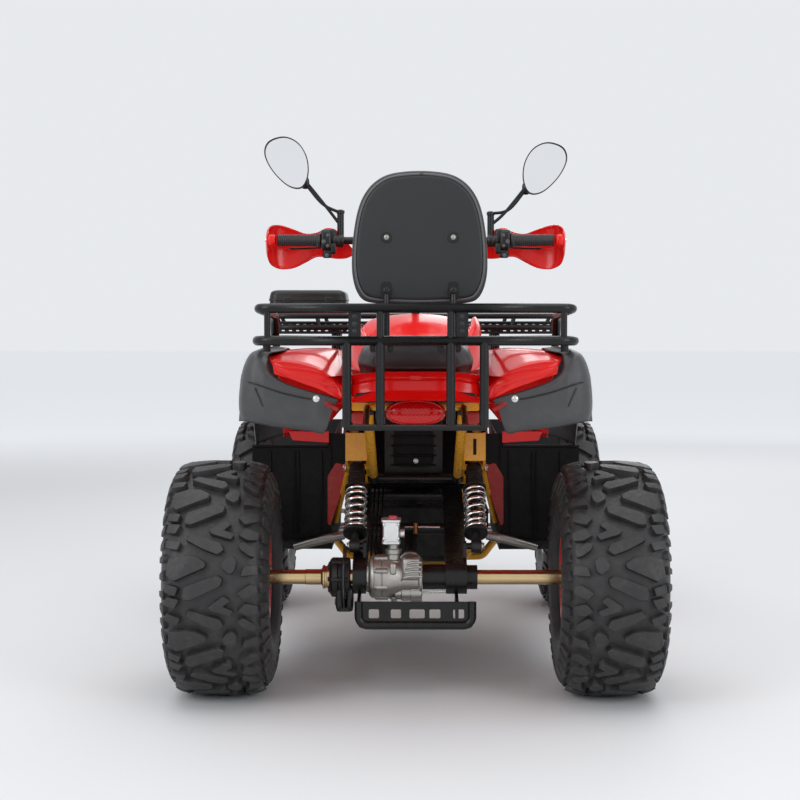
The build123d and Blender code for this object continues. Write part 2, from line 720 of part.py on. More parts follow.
# Switch housings, reservoir, levers and display pod
housing_centre = Vector(*bar_end) - bar_dir * (grip_length + 28)
with BuildPart() as bar_controls:
    with BuildSketch(Plane(origin=housing_centre - bar_dir * 26, x_dir=(0, 1, 0), z_dir=bar_dir)) as body:
        RectangleRounded(52, 74, 16)
    extrude(body.sketch, amount=52)
    run_tube(
        [housing_centre + Vector(-4, 22, -8), housing_centre + Vector(20, 56, -10),
         housing_centre + Vector(128, 40, -12)], 5, 12
    )
    bar(Vector(*bar_end) - bar_dir * 300, Vector(*bar_end) + bar_dir * 50, bar_radius + seat_gap, Mode.SUBTRACT)
    mirror(about=Plane.YZ)
    with BuildSketch(Plane(origin=clamp_base + axis_dir * (32 + seat_gap), x_dir=(1, 0, 0), z_dir=axis_dir)) as pod:
        RectangleRounded(120, 70, 20)
    extrude(pod.sketch, amount=30, taper=8)
bar_controls.part.label = "bar_controls"
export_step(bar_controls.part, "parts/bar_controls.step")

# Handguards: a bent shield in front of each grip, held at the bar end and inboard
guard_front_y = bar_end[1] + 78
with BuildPart() as handguards:
    with BuildSketch(Plane.XY.offset(1046)) as shield:
        with BuildLine():
            FilletPolyline(
                (434, bar_end[1] - 14), (430, bar_end[1] + 44), (392, guard_front_y), (262, guard_front_y + 12), radius=24
            )
            offset(amount=plastic, side=Side.LEFT)
        make_face()
    extrude(shield.sketch, amount=128)
    with BuildSketch(Plane.XZ.offset(-guard_front_y - 40)) as trim:
        with BuildLine():
            Polyline((240, 1040), (450, 1040), (450, 1066), (330, 1048), (290, 1072), (262, 1098), (262, 1128),
                     (300, 1152), (380, 1176), (450, 1160), (450, 1180), (240, 1180), close=True)
        make_face()
    extrude(trim.sketch, amount=200, mode=Mode.SUBTRACT)
    bar(Vector(*bar_end) + bar_dir * 2 * seat_gap, Vector(432, bar_end[1] - 2, bar_z), 10)
    mirror(about=Plane.YZ)
handguards.part.label = "handguards"
export_step(handguards.part, "parts/handguards.step")

# Mirrors on cranked posts
mirror_y = housing_centre.Y
with BuildPart() as mirror_frames:
    post_base = (housing_centre.X, mirror_y, housing_centre.Z + 37 + seat_gap)
    run_tube(
        [post_base, (housing_centre.X, mirror_y, 1218), (330, mirror_y - 6, 1264), (352, mirror_y - 12, 1292)], 5, 14
    )
    mirror_plane = Plane(origin=(376, mirror_y - 12, 1350), x_dir=(1, 0.18, 0), z_dir=(0.18, -1, 0.05))
    with BuildSketch(mirror_plane) as back:
        with Locations(Location((0, 0, 0), (0, 0, -8))):
            RectangleRounded(130, 148, 40)
    extrude(back.sketch, amount=-22, taper=20)
    extrude(back.sketch, amount=5)
    with BuildSketch(mirror_plane.offset(5)) as recess:
        with Locations(Location((0, 0, 0), (0, 0, -8))):
            RectangleRounded(118, 136, 35)
    extrude(recess.sketch, amount=-4, mode=Mode.SUBTRACT)
    mirror(about=Plane.YZ)
mirror_frames.part.label = "mirror_frames"
export_step(mirror_frames.part, "parts/mirror_frames.step")

with BuildPart() as mirror_glass:
    with BuildSketch(mirror_plane.offset(1)) as glass:
        with Locations(Location((0, 0, 0), (0, 0, -8))):
            RectangleRounded(117.4, 135.4, 34.7)
    extrude(glass.sketch, amount=3)
    mirror(about=Plane.YZ)
mirror_glass.part.label = "mirror_glass"
export_step(mirror_glass.part, "parts/mirror_glass.step")

# Engine: crankcase, belt cover, finned barrel and head, intake
with BuildPart() as engine:
    block((-92, 84), (engine_rear_y, 300), (cradle_z + cross_radius + seat_gap, 400))
    fillet(engine.edges().filter_by(Axis.X), 24)
    with BuildSketch(Plane.YZ.offset(-150)) as belt_cover:
        with Locations((115, 320)):
            SlotCenterToCenter(200, 150)
    extrude(belt_cover.sketch, amount=60)
    with BuildSketch(Plane.YZ.offset(80)) as flywheel_cover:
        with Locations((170, 320)):
            Circle(72)
    extrude(flywheel_cover.sketch, amount=48)
    cylinder_dir = Vector(0, sin(radians(12)), cos(radians(12)))
    cylinder_foot = Vector(-5, 150, 390)
    bar(cylinder_foot, cylinder_foot + cylinder_dir * 200, 46)
    for fin in range(9):
        fin_plane = Plane(origin=cylinder_foot + cylinder_dir * (24 + fin * 15), x_dir=(1, 0, 0), z_dir=cylinder_dir)
        with BuildSketch(fin_plane) as cooling_fin:
            RectangleRounded(150, 134, 22)
        extrude(cooling_fin.sketch, amount=5)
    with BuildSketch(Plane(origin=cylinder_foot + cylinder_dir * 158, x_dir=(1, 0, 0), z_dir=cylinder_dir)) as head:
        RectangleRounded(128, 112, 20)
    extrude(head.sketch, amount=56)
    bar((-5, 120, 510), (-5, -80, 540), 24)
    block((-80, 70), (-300, -80), (500, 640))
engine.part.label = "engine"
export_step(engine.part, "parts/engine.step")

# Exhaust: header down the front and a silencer low on the right
with BuildPart() as exhaust:
    run_tube([(40, 262, 520), (60, 330, 500), (150, 330, 420), (166, 240, 352), (166, 200, 352)], 15, 20)
    with BuildSketch(Plane.XZ.offset(-210)) as can:
        with Locations((168, 352)):
            RectangleRounded(64, 88, 24)
    extrude(can.sketch, amount=260)
    bar((168, -40, 352), (168, -90, 340), 13)
exhaust.part.label = "exhaust"
export_step(exhaust.part, "parts/exhaust.step")

# Belly plate under the cradle
with BuildPart() as belly_plate:
    plate_top = cradle_z - rail_radius - seat_gap
    block((-rail_x - 10, rail_x + 10), (-30, 370), (plate_top - 3, plate_top))
belly_plate.part.label = "belly_plate"
export_step(belly_plate.part, "parts/belly_plate.step")

# Front bumper hoop with two uprights and a cross bar
with BuildPart() as front_bumper:
    run_tube([(90, 804, 300), (90, 940, 300), (130, front_end_y - 11, 380), (190, front_end_y - 11, 600),
              (150, front_end_y - 60, 660)], 11, 30)
    mirror(about=Plane.YZ)
    bar((-150, front_end_y - 60, 660), (150, front_end_y - 60, 660), 11)
    bar((-128, front_end_y - 11, 400), (128, front_end_y - 11, 400), 9)
    bar((-182, front_end_y - 11, 560), (182, front_end_y - 11, 560), 9)
    for x in (-50, 50):
        bar((x, front_end_y - 11, 400), (x, front_end_y - 11, 560), 8)
    block((-front_rail_x - 30, front_rail_x + 30), (bumper_face_y + seat_gap, bumper_face_y + 6), (280, 330))
front_bumper.part.label = "front_bumper"
export_step(front_bumper.part, "parts/front_bumper.step")

# Racks of bent tube
pad_y = -935
stay_radius = 9
stay_y = pad_y - stay_radius
stay_bar = 8
with BuildPart() as rear_rack:
    low = rear_rack_z
    high = rear_rack_upper_z
    half = rear_rack_half_width
    back = rear_end_y + rack_tube
    run_tube([(200, -470, low - 6), (half - rack_tube, -500, low - 4), (half - rack_tube, back, low),
              (0, back, low)], rack_tube, 50)
    run_tube([(half - 14, -560, low), (half - 16, -600, high - 14), (half - 16, back, high), (0, back, high)],
             rack_tube, 34)
    bar((half - 36, back, low), (half - 36, back, high), 7)
    bar((half - 62, back, low), (half - 62, back, high), 7)
    run_tube([(200, -470, low - 6), (170, -560, low - 4), (170, back, low)], 9, 40)
    for x in (230, 290):
        bar((x, back, low), (x, -486, low - 5), 8)
    for x in (76, 148):
        bar((x, back, low), (x, back, 665), 10)
    bar((76, back, low), (76, stay_y, low), 8)
    bar((rail_x, back, 665), (rail_x, -866 - rail_radius, 700), 7)
    # Feet columns: y, height of the deck under the foot
    for y, deck_z in ((-600, 812.6), (-860, 824.4)):
        bar((half - 20, y, low), (half - 20, y, deck_z + seat_gap), 9)
    mirror(about=Plane.YZ)
    bar((-155, back, 665), (155, back, 665), 7)
    bar((-170, stay_y, low), (170, stay_y, low), stay_bar)
    for x in (-131, 100):
        block((x - 14, x + 14), (back - 4, back + 4), (low, high))
rear_rack.part.label = "rear_rack"
export_step(rear_rack.part, "parts/rear_rack.step")

with BuildPart() as front_rack:
    run_tube([(300, 480, front_rack_z), (360, 520, front_rack_z), (360, 952, front_rack_z),
              (0, 952, front_rack_z)], rack_tube, 45)
    bar((0, 480, front_rack_z), (302, 480, front_rack_z), rack_tube)
    for x in (80, 160, 240):
        block((x - 14, x + 14), (480, 952), (front_rack_z + 6, front_rack_z + 12))
    for y in (560, 860):
        bar((0, y, front_rack_z), (352, y, front_rack_z), 8)
        bar((200, y, front_rack_z), (200, y, 800), 9)
    mirror(about=Plane.YZ)
    block((-14, 14), (480, 952), (front_rack_z + 6, front_rack_z + 12))
front_rack.part.label = "front_rack"
export_step(front_rack.part, "parts/front_rack.step")

# Backrest on two stays
with BuildPart() as backrest_shell:
    with BuildSketch(Plane.XZ.offset(-pad_y)) as panel:
        with BuildLine():
            Polyline((-116, 925), (116, 925), (148, 985), (146, 1060), (120, 1170), (70, 1226), (-70, 1226),
                     (-120, 1170), (-146, 1060), (-148, 985), close=True)
        make_face()
        fillet(panel.vertices(), 20)
    extrude(panel.sketch, amount=-7)
    for x in (-76, 76):
        bar((x, stay_y, rear_rack_z + stay_bar + seat_gap), (x, stay_y, 1100), stay_radius)
backrest_shell.part.label = "backrest_shell"
export_step(backrest_shell.part, "parts/backrest_shell.step")

with BuildPart() as backrest_pad:
    with BuildSketch(Plane.XZ.offset(-pad_y - 7 - seat_gap)) as cushion:
        with BuildLine():
            Polyline((-112, 930), (112, 930), (143, 985), (141, 1060), (116, 1166), (68, 1221), (-68, 1221),
                     (-116, 1166), (-141, 1060), (-143, 985), close=True)
        make_face()
        fillet(cushion.vertices(), 20)
    extrude(cushion.sketch, amount=-52)
backrest_pad.part.label = "backrest_pad"
export_step(backrest_pad.part, "parts/backrest_pad.step")

# Two-up seat as a loft of rounded sections: y, half width, bottom, top
seat_stations = (
    (-872, 118, 786, 836), (-800, 140, 786, 850), (-520, 145, 745, 846), (-330, 130, 735, 812), (-150, 112, 735, 800),
    (-20, 84, 742, 822)
)
with BuildPart() as seat:
    for y, half, low, high in seat_stations:
        with BuildSketch(Plane.XZ.offset(-y)) as section:
            with Locations((0, (low + high) / 2)):
                RectangleRounded(2 * half, high - low, 20)
    loft(ruled=True)
seat.part.label = "seat"
export_step(seat.part, "parts/seat.step")

# Tail fairing and lamp
pan_z = 723.8
fairing_stand = 18
fairing_base = pan_z + seat_gap + fairing_stand
with BuildPart() as tail_fairing:
    with BuildSketch(Plane.XY.offset(fairing_base)) as fairing:
        with BuildLine():
            Polyline((-142, -800), (-142, -858), (-110, -890), (110, -890), (142, -858), (142, -800), close=True)
        make_face()
        fillet(fairing.vertices().group_by(Axis.Y)[0], 14)
    extrude(fairing.sketch, amount=seat_stations[0][2] - seat_gap - fairing_base)
    block((-96, 96), (-884, -800), (pan_z + seat_gap, fairing_base))
tail_fairing.part.label = "tail_fairing"
export_step(tail_fairing.part, "parts/tail_fairing.step")

lamp_y = 886 + seat_gap
with BuildPart() as tail_lamp:
    with BuildSketch(Plane.XZ.offset(lamp_y)) as lens:
        with BuildLine():
            Polyline((-65, 697), (-48, 715), (0, 721), (48, 715), (65, 697), (56, 676), (0, 669), (-56, 676), close=True)
        make_face()
    extrude(lens.sketch, amount=24, taper=10)
    block((-30, 30), (-lamp_y, -lamp_y + 20), (680, 719 - plastic - seat_gap))
tail_lamp.part.label = "tail_lamp"
export_step(tail_lamp.part, "parts/tail_lamp.step")

# Rear fender, a moulded tub under the seat with a deck over each wheel
# Station columns: y, then the half outline from the centre outwards as (x, z)
rear_fender_stations = (
    (-330, [(0, 722), (128, 722), (150, 712), (172, 690), (240, 640), (fender_half_width, 600)]),
    (-430, [(0, 726), (147, 726), (158, 760), (172, 784), (250, 764), (fender_half_width, 722)]),
    (-560, [(0, 728), (147, 728), (158, 790), (166, 826), (250, 824), (fender_half_width, 806)]),
    (-760, [(0, 726), (147, 726), (158, 796), (166, 834), (250, 834), (fender_half_width, 822)]),
    (-886, [(0, 719), (147, 719), (158, 790), (166, 830), (250, 830), (fender_half_width, 822)]),
)
with BuildPart() as rear_fender:
    moulded_skin(rear_fender_stations, plastic)
rear_fender.part.label = "rear_fender"
export_step(rear_fender.part, "parts/rear_fender.step")

# Rear flares: dark edging along the deck's outer side and down the back
flare_run = [(-318, 560)] + [(y, half[-1][1]) for y, half in rear_fender_stations] + [(-897, 655)]
with BuildPart() as rear_flares:
    bent_sheet(flare_run, plastic, (fender_half_width + seat_gap, flare_half_width), 30)
    with BuildSketch(Plane.XZ.offset(890)) as back_panel:
        with BuildLine():
            Polyline((184, 728), (318, 773), (334, 812), (fender_half_width, 812), (fender_half_width, 655),
                     (230, 646), (210, 660), close=True)
        make_face()
    extrude(back_panel.sketch, amount=plastic)
    block((fender_half_width - 1, fender_half_width + 20), (-896, -889), (660, 800))
    mirror(about=Plane.YZ)
rear_flares.part.label = "rear_flares"
export_step(rear_flares.part, "parts/rear_flares.step")

# Front fender and hood, a moulded shell over both front wheels
front_fender_half = 450
front_fender_stations = (
    (380, [(0, 868), (110, 858), (150, 780), (230, 760), (330, 700), (front_fender_half, 650)]),
    (480, [(0, 866), (120, 854), (160, 800), (240, 790), (360, 770), (front_fender_half, 735)]),
    (640, [(0, 850), (120, 838), (160, 796), (240, 790), (370, 786), (front_fender_half, 760)]),
    (820, [(0, 812), (120, 800), (160, 780), (240, 770), (360, 756), (front_fender_half, 730)]),
    (930, [(0, 760), (120, 748), (160, 730), (240, 716), (330, 690), (front_fender_half, 650)]),
)
with BuildPart() as front_fender:
    moulded_skin(front_fender_stations, plastic)
front_fender.part.label = "front_fender"
export_step(front_fender.part, "parts/front_fender.step")

front_flare_run = [(340, 596)] + [(y, half[-1][1]) for y, half in front_fender_stations] + [(960, 600)]
with BuildPart() as front_flares:
    bent_sheet(front_flare_run, -plastic, (front_fender_half + seat_gap, 525), 24)
    mirror(about=Plane.YZ)
front_flares.part.label = "front_flares"
export_step(front_flares.part, "parts/front_flares.step")

# Shell between seat and bars: y and the half outline from the centre outwards as (x, z)
cover_stations = (
    (-14, [(0, 832), (60, 826), (100, 792), (116, 745)]),
    (120, [(0, 884), (84, 872), (136, 820), (152, 745)]),
    (240, [(0, 918), (96, 904), (144, 850), (152, 760)]),
    (306, [(0, 908), (90, 896), (128, 850), (134, 780)]),
)
with BuildPart() as tank_cover:
    moulded_skin(cover_stations, plastic)
tank_cover.part.label = "tank_cover"
export_step(tank_cover.part, "parts/tank_cover.step")

# Side panels leaning in from the footwells to the seat
with BuildPart() as side_panels:
    with BuildSketch(Plane.XZ.offset(318)) as slope:
        with BuildLine():
            Polyline((footwell_inner_x - seat_gap, 430), (170, 704), (166, 704), (footwell_inner_x - seat_gap - plastic, 430),
                     close=True)
        make_face()
    extrude(slope.sketch, amount=-640)
    side_plate([(-318, 560), (-240, 420), (60, 420), (240, 520), (300, 710), (-290, 710), (-318, 650)], (150, 230), 12,
               Mode.INTERSECT)
    mirror(about=Plane.YZ)
side_panels.part.label = "side_panels"
export_step(side_panels.part, "parts/side_panels.step")

# Footwells: floor, guards before the tyres, and an inner wall
footwell_rear_y = rear_axle_y + rear_tyre_radius + 15
footwell_front_y = 250
footwell_run = [(footwell_rear_y - 2, footwell_top_z), (footwell_rear_y + 4, footwell_floor_z + 30),
                (footwell_rear_y + 40, footwell_floor_z), (footwell_front_y - 30, footwell_floor_z),
                (footwell_front_y, footwell_floor_z + 30), (330, 600)]
for side, word in ((1, "right"), (-1, "left")):
    with BuildPart() as footwell:
        bent_sheet(footwell_run, plastic, (footwell_inner_x, footwell_outer_x), 20)
        side_plate(footwell_run, (footwell_inner_x, footwell_inner_x + plastic))
        if side < 0:
            mirror(about=Plane.YZ, mode=Mode.REPLACE)
    footwell.part.label = f"footwell_{word}"
    export_step(footwell.part, f"parts/footwell_{word}.step")

# Headlamps and grille on the nose
nose_y = front_fender_stations[-1][0]
with BuildPart() as headlamps:
    with BuildSketch(Plane.XZ.offset(-nose_y - seat_gap)) as lamp:
        with Locations((232, 690)):
            RectangleRounded(120, 60, 22)
    extrude(lamp.sketch, amount=-24, taper=12)
    mirror(about=Plane.YZ)
headlamps.part.label = "headlamps"
export_step(headlamps.part, "parts/headlamps.step")

with BuildPart() as grille:
    with BuildSketch(Plane.XZ.offset(-nose_y - seat_gap)) as bars:
        with Locations((0, 704)):
            RectangleRounded(260, 112, 16)
            with GridLocations(0, 20, 1, 4):
                RectangleRounded(220, 12, 4, mode=Mode.SUBTRACT)
    extrude(bars.sketch, amount=-8)
grille.part.label = "grille"
export_step(grille.part, "parts/grille.step")

# Low case on the left of the front rack
with BuildPart() as rack_case:
    block((-453, -213), (560, 760), (front_rack_z + 12, front_rack_z + 80))
    fillet(rack_case.edges().filter_by(Axis.Z), 30)
rack_case.part.label = "rack_case"
export_step(rack_case.part, "parts/rack_case.step")
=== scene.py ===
from math import cos, pi, radians, sin, tau

import bmesh
import bpy
import numpy as np
from bpy.props import FloatProperty, FloatVectorProperty, IntProperty, PointerProperty
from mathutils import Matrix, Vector


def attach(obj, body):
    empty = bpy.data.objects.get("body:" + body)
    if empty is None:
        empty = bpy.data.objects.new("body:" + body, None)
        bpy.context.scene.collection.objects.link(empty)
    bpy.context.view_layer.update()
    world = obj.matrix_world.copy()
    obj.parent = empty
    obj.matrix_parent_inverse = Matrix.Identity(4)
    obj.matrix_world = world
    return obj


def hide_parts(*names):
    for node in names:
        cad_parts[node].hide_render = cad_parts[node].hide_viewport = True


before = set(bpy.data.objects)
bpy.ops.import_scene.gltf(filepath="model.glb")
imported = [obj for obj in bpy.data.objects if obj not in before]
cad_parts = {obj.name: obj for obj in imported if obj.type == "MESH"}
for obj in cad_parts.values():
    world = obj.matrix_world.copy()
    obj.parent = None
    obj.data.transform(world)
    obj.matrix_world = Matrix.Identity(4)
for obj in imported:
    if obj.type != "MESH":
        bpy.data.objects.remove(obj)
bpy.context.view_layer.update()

bl_info = {
    "name": "Utility quad bike",
    "version": (1, 0, 0),
    "blender": (4, 5, 0),
    "location": "View3D > Sidebar > Quad bike",
    "description": "Dresses the packed frame of a utility quad bike with its tyres, bodywork, seat and fittings",
    "category": "Object",
}

MM = 0.001
REAR_AXLE = np.array([0.0, -635.0, 280.0])
FRONT_AXLE = np.array([0.0, 635.0, 292.0])
REAR_WHEEL_X = 458.0
FRONT_WHEEL_X = 476.0
MIRROR_X = np.array([-1.0, 1.0, 1.0])
RIGHT, AHEAD, UP = (1, 0, 0), (0, 1, 0), (0, 0, 1)
LEFT, BACK, DOWN = (-1, 0, 0), (0, -1, 0), (0, 0, -1)

# The photograph's view: camera place in metres, its tilt down and turn left in degrees, and its lens in mm
CAMERA_PLACE = (0.0, -4.635, 0.903)
CAMERA_TILT = 2.83
CAMERA_TURN = 0.53
CAMERA_LENS = 75.5
SENSOR_WIDTH = 36.0
BACKDROP = (0.80, 0.82, 0.85, 1)


# Point arithmetic: every length in these functions is in millimetres

def unit(vector):
    """The vector divided by its length, row by row."""
    vector = np.asarray(vector, float)
    return vector / np.linalg.norm(vector, axis=-1, keepdims=True)


def square_directions(along):
    """Two directions square to the given one: its cross product with the least parallel axis, then with that."""
    z = unit(along)
    guide = np.array([0.0, 0.0, 1.0]) if abs(z[2]) < 0.9 else np.array([1.0, 0.0, 0.0])
    x = unit(np.cross(guide, z))
    return x, np.cross(z, x), z


def smooth_run(points, count):
    """Smooth run of count samples: on each leg a cubic of its two ends and their neighbours."""
    p = np.asarray(points, float)
    wide = np.concatenate([2 * p[:1] - p[1:2], p, 2 * p[-1:] - p[-2:-1]])
    t = np.linspace(0, len(p) - 1, count)
    leg = np.minimum(t.astype(int), len(p) - 2)
    s = (t - leg).reshape((-1,) + (1,) * (p.ndim - 1))
    a, b, c, d = wide[leg], wide[leg + 1], wide[leg + 2], wide[leg + 3]
    return 0.5 * (2 * b + (c - a) * s + (2 * a - 5 * b + 4 * c - d) * s ** 2 + (3 * b - a - 3 * c + d) * s ** 3)


def smooth_loop(points, count):
    """Closed smooth run: the same cubics, with the points wrapped round by one before and three after."""
    p = np.asarray(points, float)
    wide = np.concatenate([p[-1:], p, p[:3]])
    t = np.linspace(0, len(p), count, endpoint=False)
    leg = t.astype(int)
    s = (t - leg).reshape(-1, 1)
    a, b, c, d = wide[leg], wide[leg + 1], wide[leg + 2], wide[leg + 3]
    return 0.5 * (2 * b + (c - a) * s + (2 * a - 5 * b + 4 * c - d) * s ** 2 + (3 * b - a - 3 * c + d) * s ** 3)


def smooth_surface(stations, rows, columns):
    """Sheet through stations of points: the smooth run over the stations, then over each one's points."""
    over = smooth_run(stations, rows)
    return np.swapaxes(smooth_run(np.swapaxes(over, 0, 1), columns), 0, 1)


def both_sides(half):
    """A half outline from the centre outwards, joined to its mirror image in x."""
    half = np.asarray(half, float)
    left = half[::-1] * MIRROR_X
    return np.concatenate([left[:-1], half])


def station(y, *points):
    """Cross section at one y, from its (x, z) points."""
    return [(x, y, z) for x, z in points]


def turned(profile, origin, along, sides=40):
    """Surface of revolution through (height, radius) rows: origin + z * height + radius * (x cos a + y sin a)."""
    profile = np.asarray(profile, float)
    x, y, z = square_directions(along)
    a = np.linspace(0, tau, sides, endpoint=False)[:, None]
    spoke = np.cos(a) * x + np.sin(a) * y
    return np.asarray(origin) + profile[:, None, :1] * z + profile[:, None, 1:2] * spoke


def carried(path, outline):
    """Outline of (across, up) points carried along a path without twist, each ring square to the path."""
    path = np.asarray(path, float)
    tangent = unit(np.gradient(path, axis=0))
    across = np.empty_like(path)
    start = square_directions(tangent[0])[0]
    for row, direction in enumerate(tangent):
        start = unit(start - direction * np.dot(start, direction))
        across[row] = start
    up = np.cross(tangent, across)
    outline = np.asarray(outline, float)
    return path[:, None] + across[:, None] * outline[..., :1] + up[:, None] * outline[..., 1:2]


def tube(path, radius, sides=16):
    """Round tube: a circle of the radius, one number or one a point, carried along the path."""
    a = np.linspace(0, tau, sides, endpoint=False)
    ring = np.stack([np.cos(a), np.sin(a)], axis=-1)
    size = np.broadcast_to(np.asarray(radius, float), (len(path),))
    return carried(path, ring[None] * size[:, None, None])


def tapered(path, places, radii):
    """Radius at each point of a path: the given radii at some of its points, and straight between them."""
    return np.interp(np.arange(len(path)), places, radii)


def bent_run(corners, bend, steps=8):
    """Straight legs joined at each inner corner by a quadratic arc that starts and ends at bend from it."""
    p = np.asarray(corners, float)
    inner = p[1:-1, None]
    before, after = unit(p[:-2] - p[1:-1])[:, None], unit(p[2:] - p[1:-1])[:, None]
    s = np.linspace(0, 1, steps)[None, :, None]
    arcs = (inner + before * bend) * (1 - s) ** 2 + 2 * inner * s * (1 - s) + (inner + after * bend) * s ** 2
    return np.concatenate([p[:1], arcs.reshape(-1, 3), p[-1:]])


def rounded_outline(corners, radius, steps=5):
    """Closed outline with each corner rounded by a quadratic arc that starts and ends at radius from it."""
    p = np.asarray(corners, float)
    before = unit(np.roll(p, 1, axis=0) - p)
    after = unit(np.roll(p, -1, axis=0) - p)
    s = np.linspace(0, 1, steps)[None, :, None]
    start = (p + before * radius)[:, None]
    end = (p + after * radius)[:, None]
    return (start * (1 - s) ** 2 + 2 * p[:, None] * s * (1 - s) + end * s ** 2).reshape(-1, 2)


def box_outline(width, height, radius, steps=5):
    """Rounded rectangle about the origin."""
    w, h = width / 2, height / 2
    return rounded_outline([(w, h), (-w, h), (-w, -h), (w, -h)], radius, steps)


def plate(outline, thickness, edge, origin, across=RIGHT, up=UP):
    """Plate on a closed outline: full between its faces, moved in by edge at both, then shrunk to the middle."""
    outline = np.asarray(outline, float)
    ahead = unit(np.roll(outline, -1, axis=0) - np.roll(outline, 1, axis=0))
    inward = np.stack([-ahead[:, 1], ahead[:, 0]], axis=-1)
    turn = np.sign(np.sum(outline[:, 0] * np.roll(outline[:, 1], -1) - outline[:, 1] * np.roll(outline[:, 0], -1)))
    small = outline + inward * edge * turn
    middle = small.mean(axis=0)
    across, up = unit(across), unit(up)
    out = np.cross(across, up)
    rings = []
    for shape, share, height in ((small, 0.0, 0), (small, 1, 0), (outline, 1, edge), (outline, 1, thickness - edge),
                                 (small, 1, thickness), (small, 0.0, thickness)):
        flat = middle + (shape - middle) * share
        rings.append(np.asarray(origin) + flat[:, :1] * across + flat[:, 1:] * up + out * height)
    return np.stack(rings)


def hex_bolt(origin, along, radius=6.0, height=5.0):
    """Flanged and chamfered hexagon head: six sided rings at radius * cos 30 / cos(a - nearest flat)."""
    x, y, z = square_directions(along)
    a = np.linspace(0, tau, 24, endpoint=False)
    hexagon = cos(radians(30)) / np.cos((a % radians(60)) - radians(30))
    rows = ((0.0, 0, False), (1.35, 0, False), (1.35, 0.22, False), (1.02, 0.3, True), (1.02, 0.85, True),
            (0.86, 1.0, False), (0.45, 1.0, False), (0.0, 0.92, False))
    rings = []
    for share, level, six in rows:
        size = radius * share * (hexagon if six else 1.0)
        spoke = np.cos(a)[:, None] * x + np.sin(a)[:, None] * y
        rings.append(np.asarray(origin) + spoke * np.broadcast_to(size, a.shape)[:, None] + z * level * height)
    return np.stack(rings)


def dome_screw(origin, along, radius=7.0, height=4.0):
    """Round headed screw with a socket: a turned dome with a hollow in its middle."""
    return turned([(0, 0), (0, radius * 1.25), (1, radius * 1.25), (1.2, radius), (height * 0.75, radius * 0.9),
                   (height, radius * 0.6), (height, radius * 0.4), (height * 0.4, radius * 0.38),
                   (height * 0.4, 0)],
                  origin, along, 24)


# Mesh making

def superpower(value, power):
    """Cosine or sine of a superellipse: the sign kept, the size to the power 2 / power."""
    return np.sign(value) * np.abs(value) ** (2 / power)


def through(ring, *rows):
    """Surface through the rings that a function makes of each row of values."""
    return np.stack([ring(*row) for row in rows])


